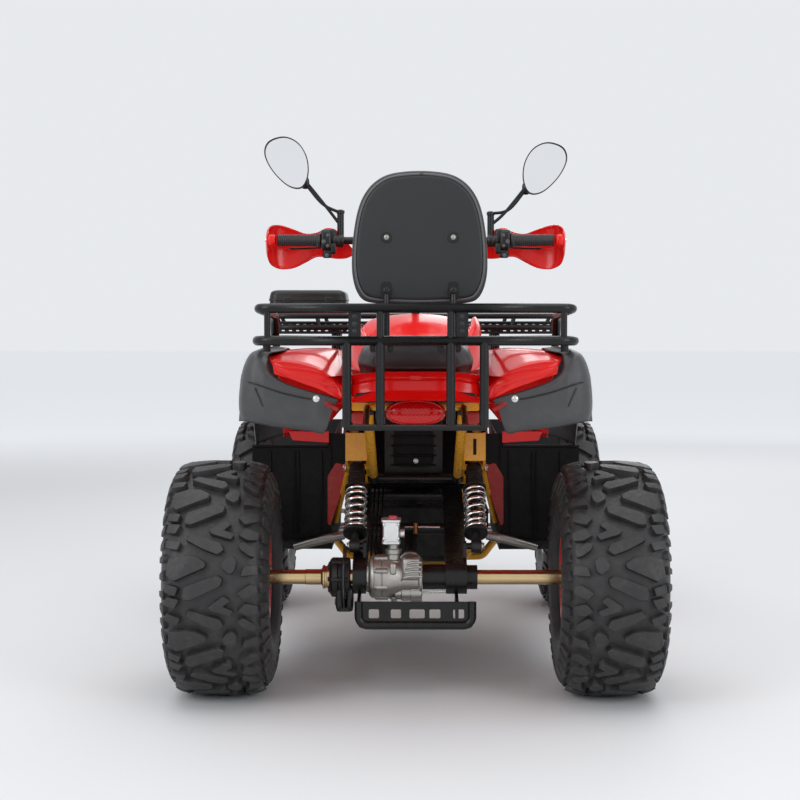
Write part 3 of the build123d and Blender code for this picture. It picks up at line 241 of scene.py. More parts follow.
class Piece:
    """Grids of points gathered into one mesh, each grid with its own material slot."""

    def __init__(self):
        self.points, self.quads, self.threes, self.quad_slots, self.three_slots = [], [], [], [], []
        self.count = 0

    def add(self, grid, ring=True, loop=False, caps=False, slot=0):
        """Rows by columns of points. ring joins the last column to the first, loop the last row to the first."""
        rows, columns = grid.shape[:2]
        index = np.arange(rows * columns).reshape(rows, columns) + self.count
        whole = index
        if ring:
            whole = np.concatenate([whole, whole[:, :1]], axis=1)
        if loop:
            whole = np.concatenate([whole, whole[:1]], axis=0)
        quads = np.stack([whole[:-1, :-1], whole[:-1, 1:], whole[1:, 1:], whole[1:, :-1]], axis=-1).reshape(-1, 4)
        self.points.append(grid.reshape(-1, 3))
        self.quads.append(quads)
        self.quad_slots.append(np.full(len(quads), slot))
        self.count += rows * columns
        if caps:
            for end, turn in ((0, 1), (-1, -1)):
                self.points.append(grid[end].mean(axis=0, keepdims=True))
                row = index[end]
                around = np.stack([np.roll(row, -1), row, np.full(columns, self.count)], axis=-1)
                self.threes.append(around[:, ::turn])
                self.three_slots.append(np.full(columns, slot))
                self.count += 1
        return self

    def rod(self, path, radius, sides=16):
        """Adds a tube with closed ends."""
        return self.add(tube(path, radius, sides), caps=True)

    def mirrored(self):
        """Adds the mirror image in x of all that is in it."""
        offset = self.count
        self.points.append(np.concatenate(self.points) * MIRROR_X)
        self.quads += [faces[:, ::-1] + offset for faces in list(self.quads)]
        self.threes += [faces[:, ::-1] + offset for faces in list(self.threes)]
        self.quad_slots += [s.copy() for s in self.quad_slots]
        self.three_slots += [s.copy() for s in self.three_slots]
        self.count += offset
        return self

    def moved(self, step):
        """Every point moved by the step."""
        self.points = [p + np.asarray(step, float) for p in self.points]
        return self

    def build(self, name, finishes, slot, body="chassis", crease=38.0, replaces=(), wall=0.0):
        """The mesh object, at the origin, riding on the body."""
        mesh = bpy.data.meshes.new(name)
        points = np.concatenate(self.points) * MM
        quads = np.concatenate(self.quads)
        threes = np.concatenate(self.threes) if self.threes else np.zeros((0, 3), int)
        loops = np.concatenate([quads.reshape(-1), threes.reshape(-1)])
        sizes = np.concatenate([np.full(len(quads), 4), np.full(len(threes), 3)])
        slots = np.concatenate(self.quad_slots + self.three_slots)
        mesh.vertices.add(len(points))
        mesh.vertices.foreach_set("co", points.reshape(-1))
        mesh.loops.add(len(loops))
        mesh.loops.foreach_set("vertex_index", loops)
        mesh.polygons.add(len(sizes))
        mesh.polygons.foreach_set("loop_start", np.concatenate([[0], np.cumsum(sizes)[:-1]]))
        mesh.polygons.foreach_set("material_index", slots)
        mesh.update(calc_edges=True)
        mesh.validate()
        work = bmesh.new()
        work.from_mesh(mesh)
        bmesh.ops.remove_doubles(work, verts=work.verts, dist=2e-6)
        bmesh.ops.recalc_face_normals(work, faces=work.faces)
        work.to_mesh(mesh)
        work.free()
        mesh.polygons.foreach_set("use_smooth", np.ones(len(mesh.polygons), bool))
        mesh.set_sharp_from_angle(angle=radians(crease))
        for finish in finishes if isinstance(finishes, (list, tuple)) else [finishes]:
            mesh.materials.append(FINISH[finish])
        piece = bpy.data.objects.new(name, mesh)
        bpy.context.scene.collection.objects.link(piece)
        if wall:
            solid = piece.modifiers.new("wall", "SOLIDIFY")
            solid.thickness = wall * MM
            solid.offset = -1.0
        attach(piece, body)
        if replaces:
            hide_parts(*replaces)
        return piece


# Finishes

FINISH = {}


class Nodes:
    """Short way to add and join shader nodes."""

    def __init__(self, name):
        self.material = bpy.data.materials.new(name)
        self.material.use_nodes = True
        self.tree = self.material.node_tree
        self.shader = self.tree.nodes["Principled BSDF"]
        self.place = self.tree.nodes.new("ShaderNodeTexCoord").outputs["Object"]

    def node(self, kind, **values):
        """A new node with its settings or inputs set."""
        made = self.tree.nodes.new("ShaderNode" + kind)
        for key, value in values.items():
            if hasattr(made, key):
                setattr(made, key, value)
            else:
                made.inputs[key.replace("_", " ").title()].default_value = value
        return made

    def join(self, source, target):
        """Links an output to an input."""
        self.tree.links.new(source, target)

    def math(self, operation, *terms):
        """Result of an operation on numbers or outputs."""
        made = self.node("Math", operation=operation)
        for term, socket in zip(terms, made.inputs):
            if isinstance(term, float):
                socket.default_value = term
            else:
                self.join(term, socket)
        return made.outputs[0]

    def texture(self, kind, vector=None, **values):
        """A texture node over the place on the object, or over another vector."""
        made = self.node(kind, **values)
        self.join(vector or self.place, made.inputs["Vector"])
        return made

    def noise(self, scale, detail, rough):
        """Noise of the place on the object, 0 to 1."""
        return self.texture("TexNoise", scale=scale, detail=detail, roughness=rough).outputs["Fac"]

    def spread(self, source, low, high, start=0.3, end=0.7):
        """The value's stretch from start to end, spread over low to high."""
        made = self.node("MapRange", from_min=start, from_max=end, to_min=low, to_max=high)
        self.join(source, made.inputs["Value"])
        return made.outputs["Result"]

    def mix(self, share, first, second):
        """Colour between two colours or sockets."""
        made = self.node("Mix", data_type="RGBA")
        for socket, value in ((made.inputs[6], first), (made.inputs[7], second)):
            if isinstance(value, (tuple, list)):
                socket.default_value = tuple(value) + (1.0,)
            else:
                self.join(value, socket)
        self.join(share, made.inputs[0])
        return made.outputs[2]

    def bump(self, height, strength, under=None):
        """Normal that follows a height of a millimetre at most, on top of the normal under it."""
        made = self.node("Bump", strength=strength, distance=MM)
        self.join(height, made.inputs["Height"])
        if under is not None:
            self.join(under, made.inputs["Normal"])
        return made.outputs["Normal"]


def scaled(colour, share):
    """The colour made darker or lighter by a share."""
    return tuple(min(1.0, c * share) for c in colour)


def finish(name, colour, rough, spread=0.08, patch=0.12, patch_scale=7.0, metallic=0.0, coat=0.0, coat_rough=0.05,
           grain=0.0, grain_scale=900.0, grain_kind="noise", dust=0.0, dust_colour=(0.30, 0.26, 0.21),
           soft_edge=0.0,
           specular=0.5):
    """One finish: patchy colour, uneven gloss, a fine grain in the normal, and dust low down and in patches."""
    n = Nodes(name)
    shader = n.shader
    shader.inputs["Metallic"].default_value = metallic
    shader.inputs["Coat Weight"].default_value = coat
    shader.inputs["Coat Roughness"].default_value = coat_rough
    shader.inputs["Specular IOR Level"].default_value = specular
    cloud = n.noise(patch_scale, 5.0, 0.6)
    base = n.mix(n.spread(cloud, 0.0, 1.0), scaled(colour, 1 - patch), scaled(colour, 1 + patch))
    fine = n.noise(patch_scale * 14, 3.0, 0.6)
    rough_value = n.spread(fine, rough - spread, rough + spread)
    if dust:
        split = n.node("SeparateXYZ")
        n.join(n.place, split.inputs[0])
        low = n.spread(split.outputs["Z"], dust, dust * 0.25, 0.05, 0.9)
        speckle = n.noise(38.0, 8.0, 0.72)
        amount = n.math("MULTIPLY", low, n.spread(speckle, 0.0, 1.0, 0.45, 0.72))
        base = n.mix(amount, base, dust_colour)
        rough_value = n.math("MULTIPLY_ADD", amount, 0.5, rough_value)
    n.join(base, shader.inputs["Base Color"])
    n.join(rough_value, shader.inputs["Roughness"])
    normal = None
    if soft_edge:
        edge = n.node("Bevel", samples=4, radius=soft_edge * MM)
        normal = edge.outputs["Normal"]
    if grain:
        if grain_kind == "cell":
            height = n.texture("TexVoronoi", scale=grain_scale, feature="F1").outputs["Distance"]
        elif grain_kind == "crackle":
            cell = n.texture("TexVoronoi", scale=grain_scale, feature="DISTANCE_TO_EDGE")
            height = n.spread(cell.outputs["Distance"], 0.0, 1.0, 0.0, 0.12)
        else:
            height = n.noise(grain_scale, 4.0, 0.65)
        normal = n.bump(height, grain, normal)
    if normal is not None:
        n.join(normal, shader.inputs["Normal"])
    FINISH[name] = n.material
    return n


def make_finishes(looks):
    """Every finish of the quad bike."""
    red = tuple(looks.body_red)
    dark = tuple(looks.moulding_grey)
    finish("gloss_red_plastic", red, 0.22, 0.03, 0.05, coat=0.22, coat_rough=0.05, specular=0.32, dust=0.05,
           soft_edge=1.2)
    # Body red darkened to 0.42, for red parts under the bodywork: painted shade
    finish("dark_red_inside", scaled(red, 0.42), 0.42, 0.08, 0.15, dust=0.3, soft_edge=1.0)
    finish("grained_grey_plastic", dark, 0.42, 0.06, 0.10, grain=0.14, grain_scale=1500, grain_kind="cell",
           dust=0.16, soft_edge=1.5)
    finish("smooth_black_plastic", (0.009, 0.009, 0.0095), 0.34, 0.07, 0.15, dust=0.03, soft_edge=1.0, specular=0.4)
    finish("footwell_black_plastic", (0.004, 0.004, 0.0042), 0.58, 0.08, 0.25, grain=0.12, grain_scale=1100,
           grain_kind="cell", dust=0.03, soft_edge=1.5, specular=0.22)
    finish("black_powder_coat", (0.007, 0.007, 0.0075), 0.30, 0.06, 0.15, grain=0.08, grain_scale=700, dust=0.02,
           coat=0.08, coat_rough=0.14, soft_edge=0.8, specular=0.3)
    finish("ochre_enamel", (0.86, 0.40, 0.006), 0.30, 0.08, 0.10, grain=0.06, grain_scale=500, dust=0.12, coat=0.3,
           coat_rough=0.12, soft_edge=0.8)
    finish("cast_aluminium", (0.40, 0.385, 0.36), 0.44, 0.10, 0.14, 22.0, metallic=1.0, grain=0.30, grain_scale=650,
           dust=0.22, soft_edge=1.2)
    finish("dark_casting", (0.014, 0.014, 0.015), 0.46, 0.10, 0.25, 14.0, metallic=0.35, grain=0.25,
           grain_scale=520, dust=0.16, soft_edge=1.0)
    finish("yellow_zinc", (0.66, 0.50, 0.27), 0.20, 0.05, 0.12, 9.0, metallic=1.0, soft_edge=0.6)
    finish("bright_zinc", (0.72, 0.72, 0.70), 0.26, 0.08, 0.10, 30.0, metallic=1.0, grain=0.08, grain_scale=900,
           soft_edge=0.5)
    finish("dark_steel", (0.05, 0.05, 0.052), 0.36, 0.10, 0.20, 18.0, metallic=0.85, grain=0.14, grain_scale=700,
           dust=0.25, soft_edge=0.8)
    finish("bare_forging", (0.36, 0.35, 0.33), 0.34, 0.09, 0.20, 14.0, metallic=1.0, grain=0.16, grain_scale=500,
           dust=0.20, soft_edge=1.2)
    finish("spring_chrome", (0.82, 0.82, 0.80), 0.12, 0.05, 0.10, 20.0, metallic=1.0, dust=0.10)
    finish("gloss_red_enamel", (0.62, 0.010, 0.012), 0.20, 0.05, 0.10, coat=0.4, dust=0.20, soft_edge=0.8)
    finish("tyre_rubber", (0.021, 0.021, 0.022), 0.50, 0.12, 0.30, 11.0, grain=0.20, grain_scale=420, dust=0.30,
           dust_colour=(0.115, 0.10, 0.085), soft_edge=1.0)
    finish("grip_rubber", (0.014, 0.014, 0.015), 0.48, 0.08, 0.15, grain=0.16, grain_scale=1300, grain_kind="cell")
    finish("seat_vinyl", (0.030, 0.030, 0.032), 0.40, 0.05, 0.12, grain=0.26, grain_scale=620, grain_kind="crackle",
           dust=0.05)
    finish("side_vinyl", (0.085, 0.086, 0.09), 0.42, 0.05, 0.10, grain=0.22, grain_scale=620, grain_kind="crackle",
           dust=0.05)
    finish("seam_piping", (0.10, 0.10, 0.104), 0.34, 0.06, 0.10)
    finish("backrest_board", (0.0115, 0.012, 0.0125), 0.50, 0.05, 0.10, grain=0.12, grain_scale=1600,
           grain_kind="cell")
    finish("hose_rubber", (0.012, 0.012, 0.012), 0.38, 0.08, 0.2, dust=0.1)
    finish("bright_casting", (0.78, 0.78, 0.77), 0.36, 0.08, 0.08, 20.0, metallic=0.9, grain=0.18, grain_scale=650,
           soft_edge=0.8)
    finish("red_rubber", (0.52, 0.05, 0.09), 0.42, 0.08, 0.12, 20.0)
    finish("copper_sleeve", (0.45, 0.16, 0.05), 0.35, 0.10, 0.25, 30.0, metallic=0.8)
    n = finish("red_lens", (0.46, 0.004, 0.004), 0.14, 0.03, 0.08, coat=0.25, coat_rough=0.04, specular=0.35)
    wave = []
    for turn in (0.7, -0.7):
        leaning = n.texture("Mapping", rotation=(0, turn, 0)).outputs["Vector"]
        wave.append(n.texture("TexWave", leaning, bands_direction="X", wave_profile="SIN",
                              scale=46.0).outputs["Fac"])
    both = n.math("MULTIPLY", *wave)
    n.join(n.bump(both, 0.18), n.shader.inputs["Normal"])
    n.join(n.mix(both, (0.50, 0.002, 0.002), (0.72, 0.008, 0.006)), n.shader.inputs["Base Color"])
    n = finish("clear_lens", (0.62, 0.66, 0.70), 0.06, 0.02, 0.06, coat=1.0, coat_rough=0.01)
    n.shader.inputs["Metallic"].default_value = 0.6
    finish("mirror_silver", (0.90, 0.91, 0.92), 0.03, 0.01, 0.01, metallic=1.0)


# Sizes and colours that a user would change

class QUADBIKE_PG_looks(bpy.types.PropertyGroup):
    """Colours of the bodywork and sizes of the tread, seat and springs."""
    body_red: FloatVectorProperty(name="Body red", description="Colour of the glossy bodywork", size=3, min=0,
                                  max=1,
                                  default=(0.83, 0.010, 0.008), subtype="COLOR")
    moulding_grey: FloatVectorProperty(name="Moulding grey", description="Colour of the grained flares", size=3,
                                       min=0, max=1, default=(0.052, 0.053, 0.056), subtype="COLOR")
    tread_pitches: IntProperty(name="Tread pitches", description="Repeats of the tread round a tyre", default=10,
                               min=6, max=16)
    seam_radius: FloatProperty(name="Piping radius", description="Radius of the piping on seat and backrest",
                               default=3.2 * MM, min=0.001, max=0.01, unit="LENGTH", subtype="DISTANCE")
    spring_wire: FloatProperty(name="Spring wire", description="Radius of the suspension springs' wire",
                               default=4.3 * MM, min=0.002, max=0.01, unit="LENGTH", subtype="DISTANCE")


class QuadOperator:
    """What every step shares: the looks."""
    bl_options = {"REGISTER", "UNDO"}

    @property
    def looks(self):
        return bpy.context.scene.quad_bike_looks


# Stage

# Half length of the floor in metres, how far off it takes on the backdrop's colour, and how much of it
FLOOR_REACH = 40.0
HAZE_FROM, HAZE_TO, HAZE = 4.2, 9.0, 0.44
FLOOR_COLOUR = (0.82, 0.83, 0.84, 1)
SKY_COLOUR, SKY_STRENGTH = (0.86, 0.88, 0.92, 1), 0.50
# Lamps: name, place, point aimed at, width, power
LAMPS = (
    ("sky_panel", (0.0, -0.6, 5.2), (0, 0, 0.4), 6.0, 150.0),
    ("rear_left_panel", (-4.2, -5.0, 3.4), (0, -0.4, 0.6), 3.4, 125.0),
    ("rear_right_panel", (4.6, -5.0, 2.6), (0, -0.4, 0.6), 3.0, 95.0),
    ("front_panel", (1.5, 5.5, 3.4), (0, 0.2, 0.6), 3.0, 60.0),
)


class QUADBIKE_OT_stage(QuadOperator, bpy.types.Operator):
    """Pale floor, soft light and the camera behind the quad bike"""
    bl_idname = "quadbike.stage"
    bl_label = "Stage"

    def seen_rays(self, tree):
        """Output that is 1 for the rays that show the backdrop: camera, glossy and transmission rays."""
        rays = tree.nodes.new("ShaderNodeLightPath")
        seen = rays.outputs["Is Camera Ray"]
        for kind in ("Is Glossy Ray", "Is Transmission Ray"):
            either = tree.nodes.new("ShaderNodeMath")
            either.operation = "MAXIMUM"
            tree.links.new(seen, either.inputs[0])
            tree.links.new(rays.outputs[kind], either.inputs[1])
            seen = either.outputs[0]
        return seen

    def execute(self, context):
        scene = bpy.context.scene
        scene.view_settings.view_transform = "Standard"
        n = Nodes("pale_floor")
        n.shader.inputs["Base Color"].default_value = FLOOR_COLOUR
        n.shader.inputs["Roughness"].default_value = 0.75
        # Seen far off, the floor has the backdrop's colour; it lights nothing
        far = n.node("VectorMath", operation="LENGTH")
        n.join(n.place, far.inputs[0])
        haze = n.node("MapRange", interpolation_type="SMOOTHSTEP", from_min=HAZE_FROM, from_max=HAZE_TO,
                      to_min=0.0, to_max=HAZE)
        n.join(far.outputs["Value"], haze.inputs["Value"])
        shown = n.math("MULTIPLY", haze.outputs["Result"], self.seen_rays(n.tree))
        n.join(shown, n.shader.inputs["Emission Strength"])
        n.shader.inputs["Emission Color"].default_value = BACKDROP
        mesh = bpy.data.meshes.new("floor")
        corners = ((-1, -1), (1, -1), (1, 1), (-1, 1))
        mesh.from_pydata([(x * FLOOR_REACH, y * FLOOR_REACH, 0) for x, y in corners], [], [(0, 1, 2, 3)])
        mesh.materials.append(n.material)
        floor = bpy.data.objects.new("floor", mesh)
        scene.collection.objects.link(floor)

        world = scene.world or bpy.data.worlds.new("overcast")
        scene.world = world
        world.use_nodes = True
        nodes, links = world.node_tree.nodes, world.node_tree.links
        background = nodes["Background"]
        background.inputs["Color"].default_value = SKY_COLOUR
        background.inputs["Strength"].default_value = SKY_STRENGTH
        seen = nodes.new("ShaderNodeBackground")
        seen.inputs["Color"].default_value = BACKDROP
        seen.inputs["Strength"].default_value = 1.0
        blend = nodes.new("ShaderNodeMixShader")
        links.new(self.seen_rays(world.node_tree), blend.inputs[0])
        links.new(background.outputs[0], blend.inputs[1])
        links.new(seen.outputs[0], blend.inputs[2])
        links.new(blend.outputs[0], nodes["World Output"].inputs["Surface"])

        for name, place, aim, width, power in LAMPS:
            lamp = bpy.data.lights.new(name, "AREA")
            lamp.energy = power
            lamp.size = width
            holder = bpy.data.objects.new(name, lamp)
            holder.location = place
            holder.rotation_euler = (Vector(aim) - Vector(place)).to_track_quat("-Z", "Y").to_euler()
            scene.collection.objects.link(holder)

        camera = bpy.data.cameras.new("camera")
        camera.lens = CAMERA_LENS
        camera.sensor_width = SENSOR_WIDTH
        camera.clip_end = 200.0
        eye = bpy.data.objects.new("camera", camera)
        eye.location = CAMERA_PLACE
        eye.rotation_euler = (radians(90 - CAMERA_TILT), 0.0, radians(CAMERA_TURN))
        scene.collection.objects.link(eye)
        scene.camera = eye
        return {"FINISHED"}


# Finishes of the nodes that stay as they are

NODE_FINISHES = {
    "ochre_enamel": ("frame",),
    "black_powder_coat": ("swingarm", "rear_skid_guard", "front_bumper", "front_rack", "rear_rack", "belly_plate",
                          "steering_stem", "handlebar"),
    "bare_forging": ("control_arms", "tie_rod_left", "tie_rod_right"),
    "dark_casting": ("engine", "knuckle_left", "knuckle_right", "exhaust", "shock_absorbers", "brake_caliper"),
    "cast_aluminium": ("final_drive",),
    "yellow_zinc": ("rear_axle",),
    "gloss_red_enamel": ("rear_rim_left", "rear_rim_right", "front_rim_left", "front_rim_right"),
    "footwell_black_plastic": ("footwell_left", "footwell_right"),
    "smooth_black_plastic": ("bar_controls", "grille", "rack_case", "grips", "mirror_frames"),
    "backrest_board": ("backrest_shell",),
    "gloss_red_plastic": ("side_panels", "tank_cover", "handguards", "front_fender", "rear_fender", "tail_fairing"),
    "grained_grey_plastic": ("front_flares", "rear_flares"),
    "clear_lens": ("headlamps",),
    "red_lens": ("tail_lamp",),
    "mirror_silver": ("mirror_glass",),
    "spring_chrome": ("shock_springs",),
    "tyre_rubber": ("rear_tyre_left", "rear_tyre_right", "front_tyre_left", "front_tyre_right"),
    "seat_vinyl": ("seat", "backrest_pad"),
}


class QUADBIKE_OT_finishes(QuadOperator, bpy.types.Operator):
    """Paints, castings, rubber, vinyl and plastics, put on the nodes of the frame"""
    bl_idname = "quadbike.finishes"
    bl_label = "Finishes"

    def execute(self, context):
        make_finishes(self.looks)
        for name, nodes in NODE_FINISHES.items():
            for node in nodes:
                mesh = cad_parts[node].data
                mesh.materials.clear()
                mesh.materials.append(FINISH[name])
        return {"FINISHED"}


# Tyres

# Half section of the carcass as (distance from the middle, radius), outwards and down to the bead
REAR_SECTION = [(0, 263), (40, 263), (72, 260), (94, 253), (108, 240), (117, 222), (123, 200), (122, 175),
                (112, 152),
                (99, 138), (95, 130)]
FRONT_SECTION = [(0, 278), (30, 277.5), (50, 274), (64, 267), (74, 254), (82, 232), (86.5, 205), (85, 178),
                 (78, 156), (69, 140), (65.5, 130)]
# Blocks of one pitch as outlines of (across, along): those of crown and shoulders, then those of a side wall
CROWN_BLOCKS = (
    [(-64, 0), (-60, 20), (-8, 40), (14, 46), (26, 38), (22, 22), (-48, -11), (-62, -9)],
    [(-92, 86), (-60, 92), (-34, 90), (-12, 75), (-14, 64), (-82, 32), (-97, 46)],
    [(-58, 128), (-48, 142), (20, 120), (28, 104), (14, 93), (-20, 106)],
    [(22, 70), (32, 86), (47, 91), (56, 79), (52, 56), (42, 48), (25, 60)],
    [(-8, 150), (28, 176), (42, 166), (26, 151), (50, 140), (42, 128), (-2, 142)],
    [(58, 118), (70, 124), (93, 104), (92, 88), (80, 92), (62, 106)],
    [(56, 6), (84, 26), (96, 22), (97, 4), (70, -10)],
    [(64, 44), (70, 66), (96, 72), (98, 48)],
    [(58, 140), (74, 158), (98, 150), (97, 130), (76, 128)],
    [(-74, 104), (-68, 122), (-97, 132), (-100, 112)],
    [(-80, 144), (-70, 166), (-96, 172), (-100, 150)],
    [(-78, -2), (-72, 18), (-97, 26), (-100, 6)],
)
SIDE_BLOCKS = (
    [(105, 2), (150, 4), (150, 22), (105, 30)],
    [(105, 50), (140, 52), (140, 66), (105, 72)],
    [(105, 88), (150, 92), (150, 108), (105, 112)],
    [(105, 130), (140, 134), (140, 148), (105, 154)],
)
# Length of the pitch that the blocks are drawn for, and where the blocks of the side wall start on it
DRAWN_PITCH = 176.0
DRAWN_WALL = 105
# Each size: section, radius at the crown, height of the blocks, share of their drawn reach, start of the side
# wall's blocks and half of the greatest width
REAR_SIZE = (REAR_SECTION, 263.0, 16.5, 1.0, 108, 124.8)
FRONT_SIZE = (FRONT_SECTION, 278.0, 13.5, 0.68, 76, 88.0)
SIDE_WALL_SHARE = 0.62
# Lines of the carcass from bead to bead, and spokes round it
TYRE_LINES, TYRE_SPOKES = 97, 120


def section_frame(section):
    """Half section as tables: distance along its surface, (across, radius) points and outward directions."""
    fine = smooth_run(section, 400)
    step = np.linalg.norm(np.diff(fine, axis=0), axis=1)
    length = np.concatenate([[0], np.cumsum(step)])
    ahead = unit(np.gradient(fine, axis=0))
    return length, fine, np.stack([-ahead[:, 1], ahead[:, 0]], axis=-1)


def on_tyre(table, radius, surface_x, around, rise):
    """Points of the tyre: the section's at that surface distance, moved out by rise, turned round the axle."""
    length, fine, outward = table
    s = np.abs(surface_x)
    x = np.interp(s, length, fine[:, 0]) + np.interp(s, length, outward[:, 0]) * rise
    r = np.interp(s, length, fine[:, 1]) + np.interp(s, length, outward[:, 1]) * rise
    angle = around / radius
    sides = np.where(surface_x < 0, -x, x)
    return np.stack(np.broadcast_arrays(sides, -r * np.cos(angle), r * np.sin(angle)), axis=-1)


def tread_blocks(piece, table, radius, pitches, reach, height, blocks, low, turn):
    """Each block: its outline rounded, in rings that rise from the carcass, round the edge and to the middle."""
    pitch = tau * radius / pitches
    stretch = pitch / DRAWN_PITCH
    rings = ((1.10, -2.0), (1.04, 0.0), (1.0, height - 2.0), (0.955, height), (0.6, height), (0.03, height))
    for corners in blocks:
        outline = rounded_outline(np.asarray(corners, float) * np.array([reach * turn, stretch]), 3.0, 3)
        middle = outline.mean(axis=0)
        for index in range(pitches):
            made = []
            for share, rise in rings:
                ring = middle + (outline - middle) * share
                if low:
                    rise = rise * np.interp(np.abs(ring[:, 0]), low, (1.0, 0.45))
                made.append(on_tyre(table, radius, ring[:, 0], ring[:, 1] + index * pitch, rise))
            piece.add(np.stack(made))


def make_tyre(node, body, centre, size, pitches, turn):
    """Tyre: the section turned round the axle, with the blocks of crown, shoulders and side walls on it."""
    section, radius, height, reach, wall_start, widest = size
    table = section_frame(section)
    total = table[0][-1]
    piece = Piece()
    s = np.linspace(-total, total, TYRE_LINES)
    around = np.linspace(0, tau * radius, TYRE_SPOKES, endpoint=False)
    lines = sum(rise * np.exp(-((np.abs(s) - total * share) / wide) ** 2)
                for rise, share, wide in ((1.2, 0.82, 3.0), (1.6, 0.93, 3.5)))
    grid = on_tyre(table, radius, s[:, None], around, lines[:, None])
    inner = grid[[-1, 0]].copy()
    inner[..., 1:] *= 0.985
    piece.add(np.concatenate([grid, inner]), loop=True)
    tread_blocks(piece, table, radius, pitches, reach, height, CROWN_BLOCKS, None, turn)
    side = [[(u - DRAWN_WALL + wall_start, v) for u, v in block] for block in SIDE_BLOCKS]
    side += [[(-u, v + 30) for u, v in reversed(block)] for block in side]
    tread_blocks(piece, table, radius, pitches, 1.0, height * SIDE_WALL_SHARE, side, (wall_start, wall_start + 45),
                 1.0)
    limit = np.array([widest, np.inf, np.inf])
    piece.points = [np.clip(p, -limit, limit) for p in piece.points]
    piece.moved(centre)
    piece.build(node + "_tread", "tyre_rubber", "tyre_rubber", body=body, crease=32.0, replaces=(node,))


class QUADBIKE_OT_tyres(QuadOperator, bpy.types.Operator):
    """Four lugged tyres with zigzag bars and shoulder blocks"""
    bl_idname = "quadbike.tyres"
    bl_label = "Tyres"

    def execute(self, context):
        pitches = self.looks.tread_pitches
        for word, side in (("left", -1), ("right", 1)):
            make_tyre(f"rear_tyre_{word}", "rear_wheels", REAR_AXLE + [side * REAR_WHEEL_X, 0, 0], REAR_SIZE,
                      pitches, -side)
            make_tyre(f"front_tyre_{word}", f"{word}_wheel", FRONT_AXLE + [side * FRONT_WHEEL_X, 0, 0], FRONT_SIZE,
                      pitches, -side)
        return {"FINISHED"}


# Suspension springs and hardware

REAR_SHOCKS = [((147 * s, -600, 350), (147 * s, -420, 525)) for s in (-1, 1)]
FRONT_SHOCKS = [((290 * s, 635, 262), (150 * s, 640, 662)) for s in (-1, 1)]
# Outer radius of a coil, and the share of a shock absorber's length that the coils reach up to
COIL_RADIUS = 28
COIL_SHARE = 0.70


def helix(low, high, start, end, turns, radius, samples=32):
    """Helix about the line from low to high, its ends closed up: there the angle runs ahead of the height."""
    low, high = np.asarray(low, float), np.asarray(high, float)
    x, y, z = square_directions(high - low)
    t = np.linspace(0, 1, int(turns * samples))
    angle = tau * turns * t
    height = start + (end - start) * (t - 0.045 * np.sin(tau * t) * 0.9)
    spoke = np.cos(angle)[:, None] * x + np.sin(angle)[:, None] * y
    return low + z * height[:, None] + spoke * radius


class QUADBIKE_OT_springs(QuadOperator, bpy.types.Operator):
    """Coil springs with their collars, dust sleeves and eye bolts"""
    bl_idname = "quadbike.springs"
    bl_label = "Springs"

    def execute(self, context):
        wire = self.looks.spring_wire / MM
        coils, collars = Piece(), Piece()
        for shocks, turns in ((REAR_SHOCKS, 6.5), (FRONT_SHOCKS, 11)):
            for low, high in shocks:
                low, high = np.asarray(low, float), np.asarray(high, float)
                length = np.linalg.norm(high - low)
                along = (high - low) / length
                path = helix(low, high, 48, length * COIL_SHARE - 4, turns, COIL_RADIUS - wire)
                coils.rod(path, wire, 12)
                for place in (36, length * COIL_SHARE + 1):
                    collars.add(turned([(0, 9), (0, 26), (1.5, 29), (6, 29), (7.5, 27), (7.5, 9)],
                                       low + along * place, along, 32), loop=True)
                for index in range(5):
                    collars.add(turned([(0, 20.2), (1, 21.6), (4, 21.6), (5, 20.2)],
                                       low + along * (length * 0.74 + index * 8), along, 28), loop=True)
        coils.build("spring_coils", "spring_chrome", "spring_chrome", replaces=("shock_springs",))
        collars.build("spring_collars", "smooth_black_plastic", "grey_steel")
        eyes = Piece()
        for low, high in REAR_SHOCKS:
            side = 1 if low[0] > 0 else -1
            eyes.add(hex_bolt((low[0] + side * 13, low[1], low[2]), (side, 0, 0), 9, 7))
            eyes.add(hex_bolt((high[0] + side * 28.5, high[1], high[2]), (side, 0, 0), 9, 7))
        eyes.build("shock_bolts", "bright_zinc", "grey_steel")
        return {"FINISHED"}


# Saddle: y, half width at the bottom and at the top, lowest and highest point
SEAT_STATIONS = [(-874, 138, 96, 784, 842), (-850, 141, 104, 784, 850), (-780, 143, 112, 782, 857),
                 (-640, 145, 117, 762, 858), (-520, 145, 117, 747, 850), (-430, 139, 110, 740, 832),
                 (-330, 131, 102, 736, 812), (-230, 121, 94, 735, 802), (-140, 111, 86, 736, 802),
                 (-70, 97, 76, 739, 812), (-22, 84, 66, 742, 822)]
# Seams across the top with their depth and width, and the powers of the section's rounded box
SEAT_SEAMS_Y = (-700, -590, -480, -395, -300, -205)
SEAM_DEPTH, SEAM_WIDTH = 3.0, 5.0
SEAT_POWERS = (4.2, 3.6)


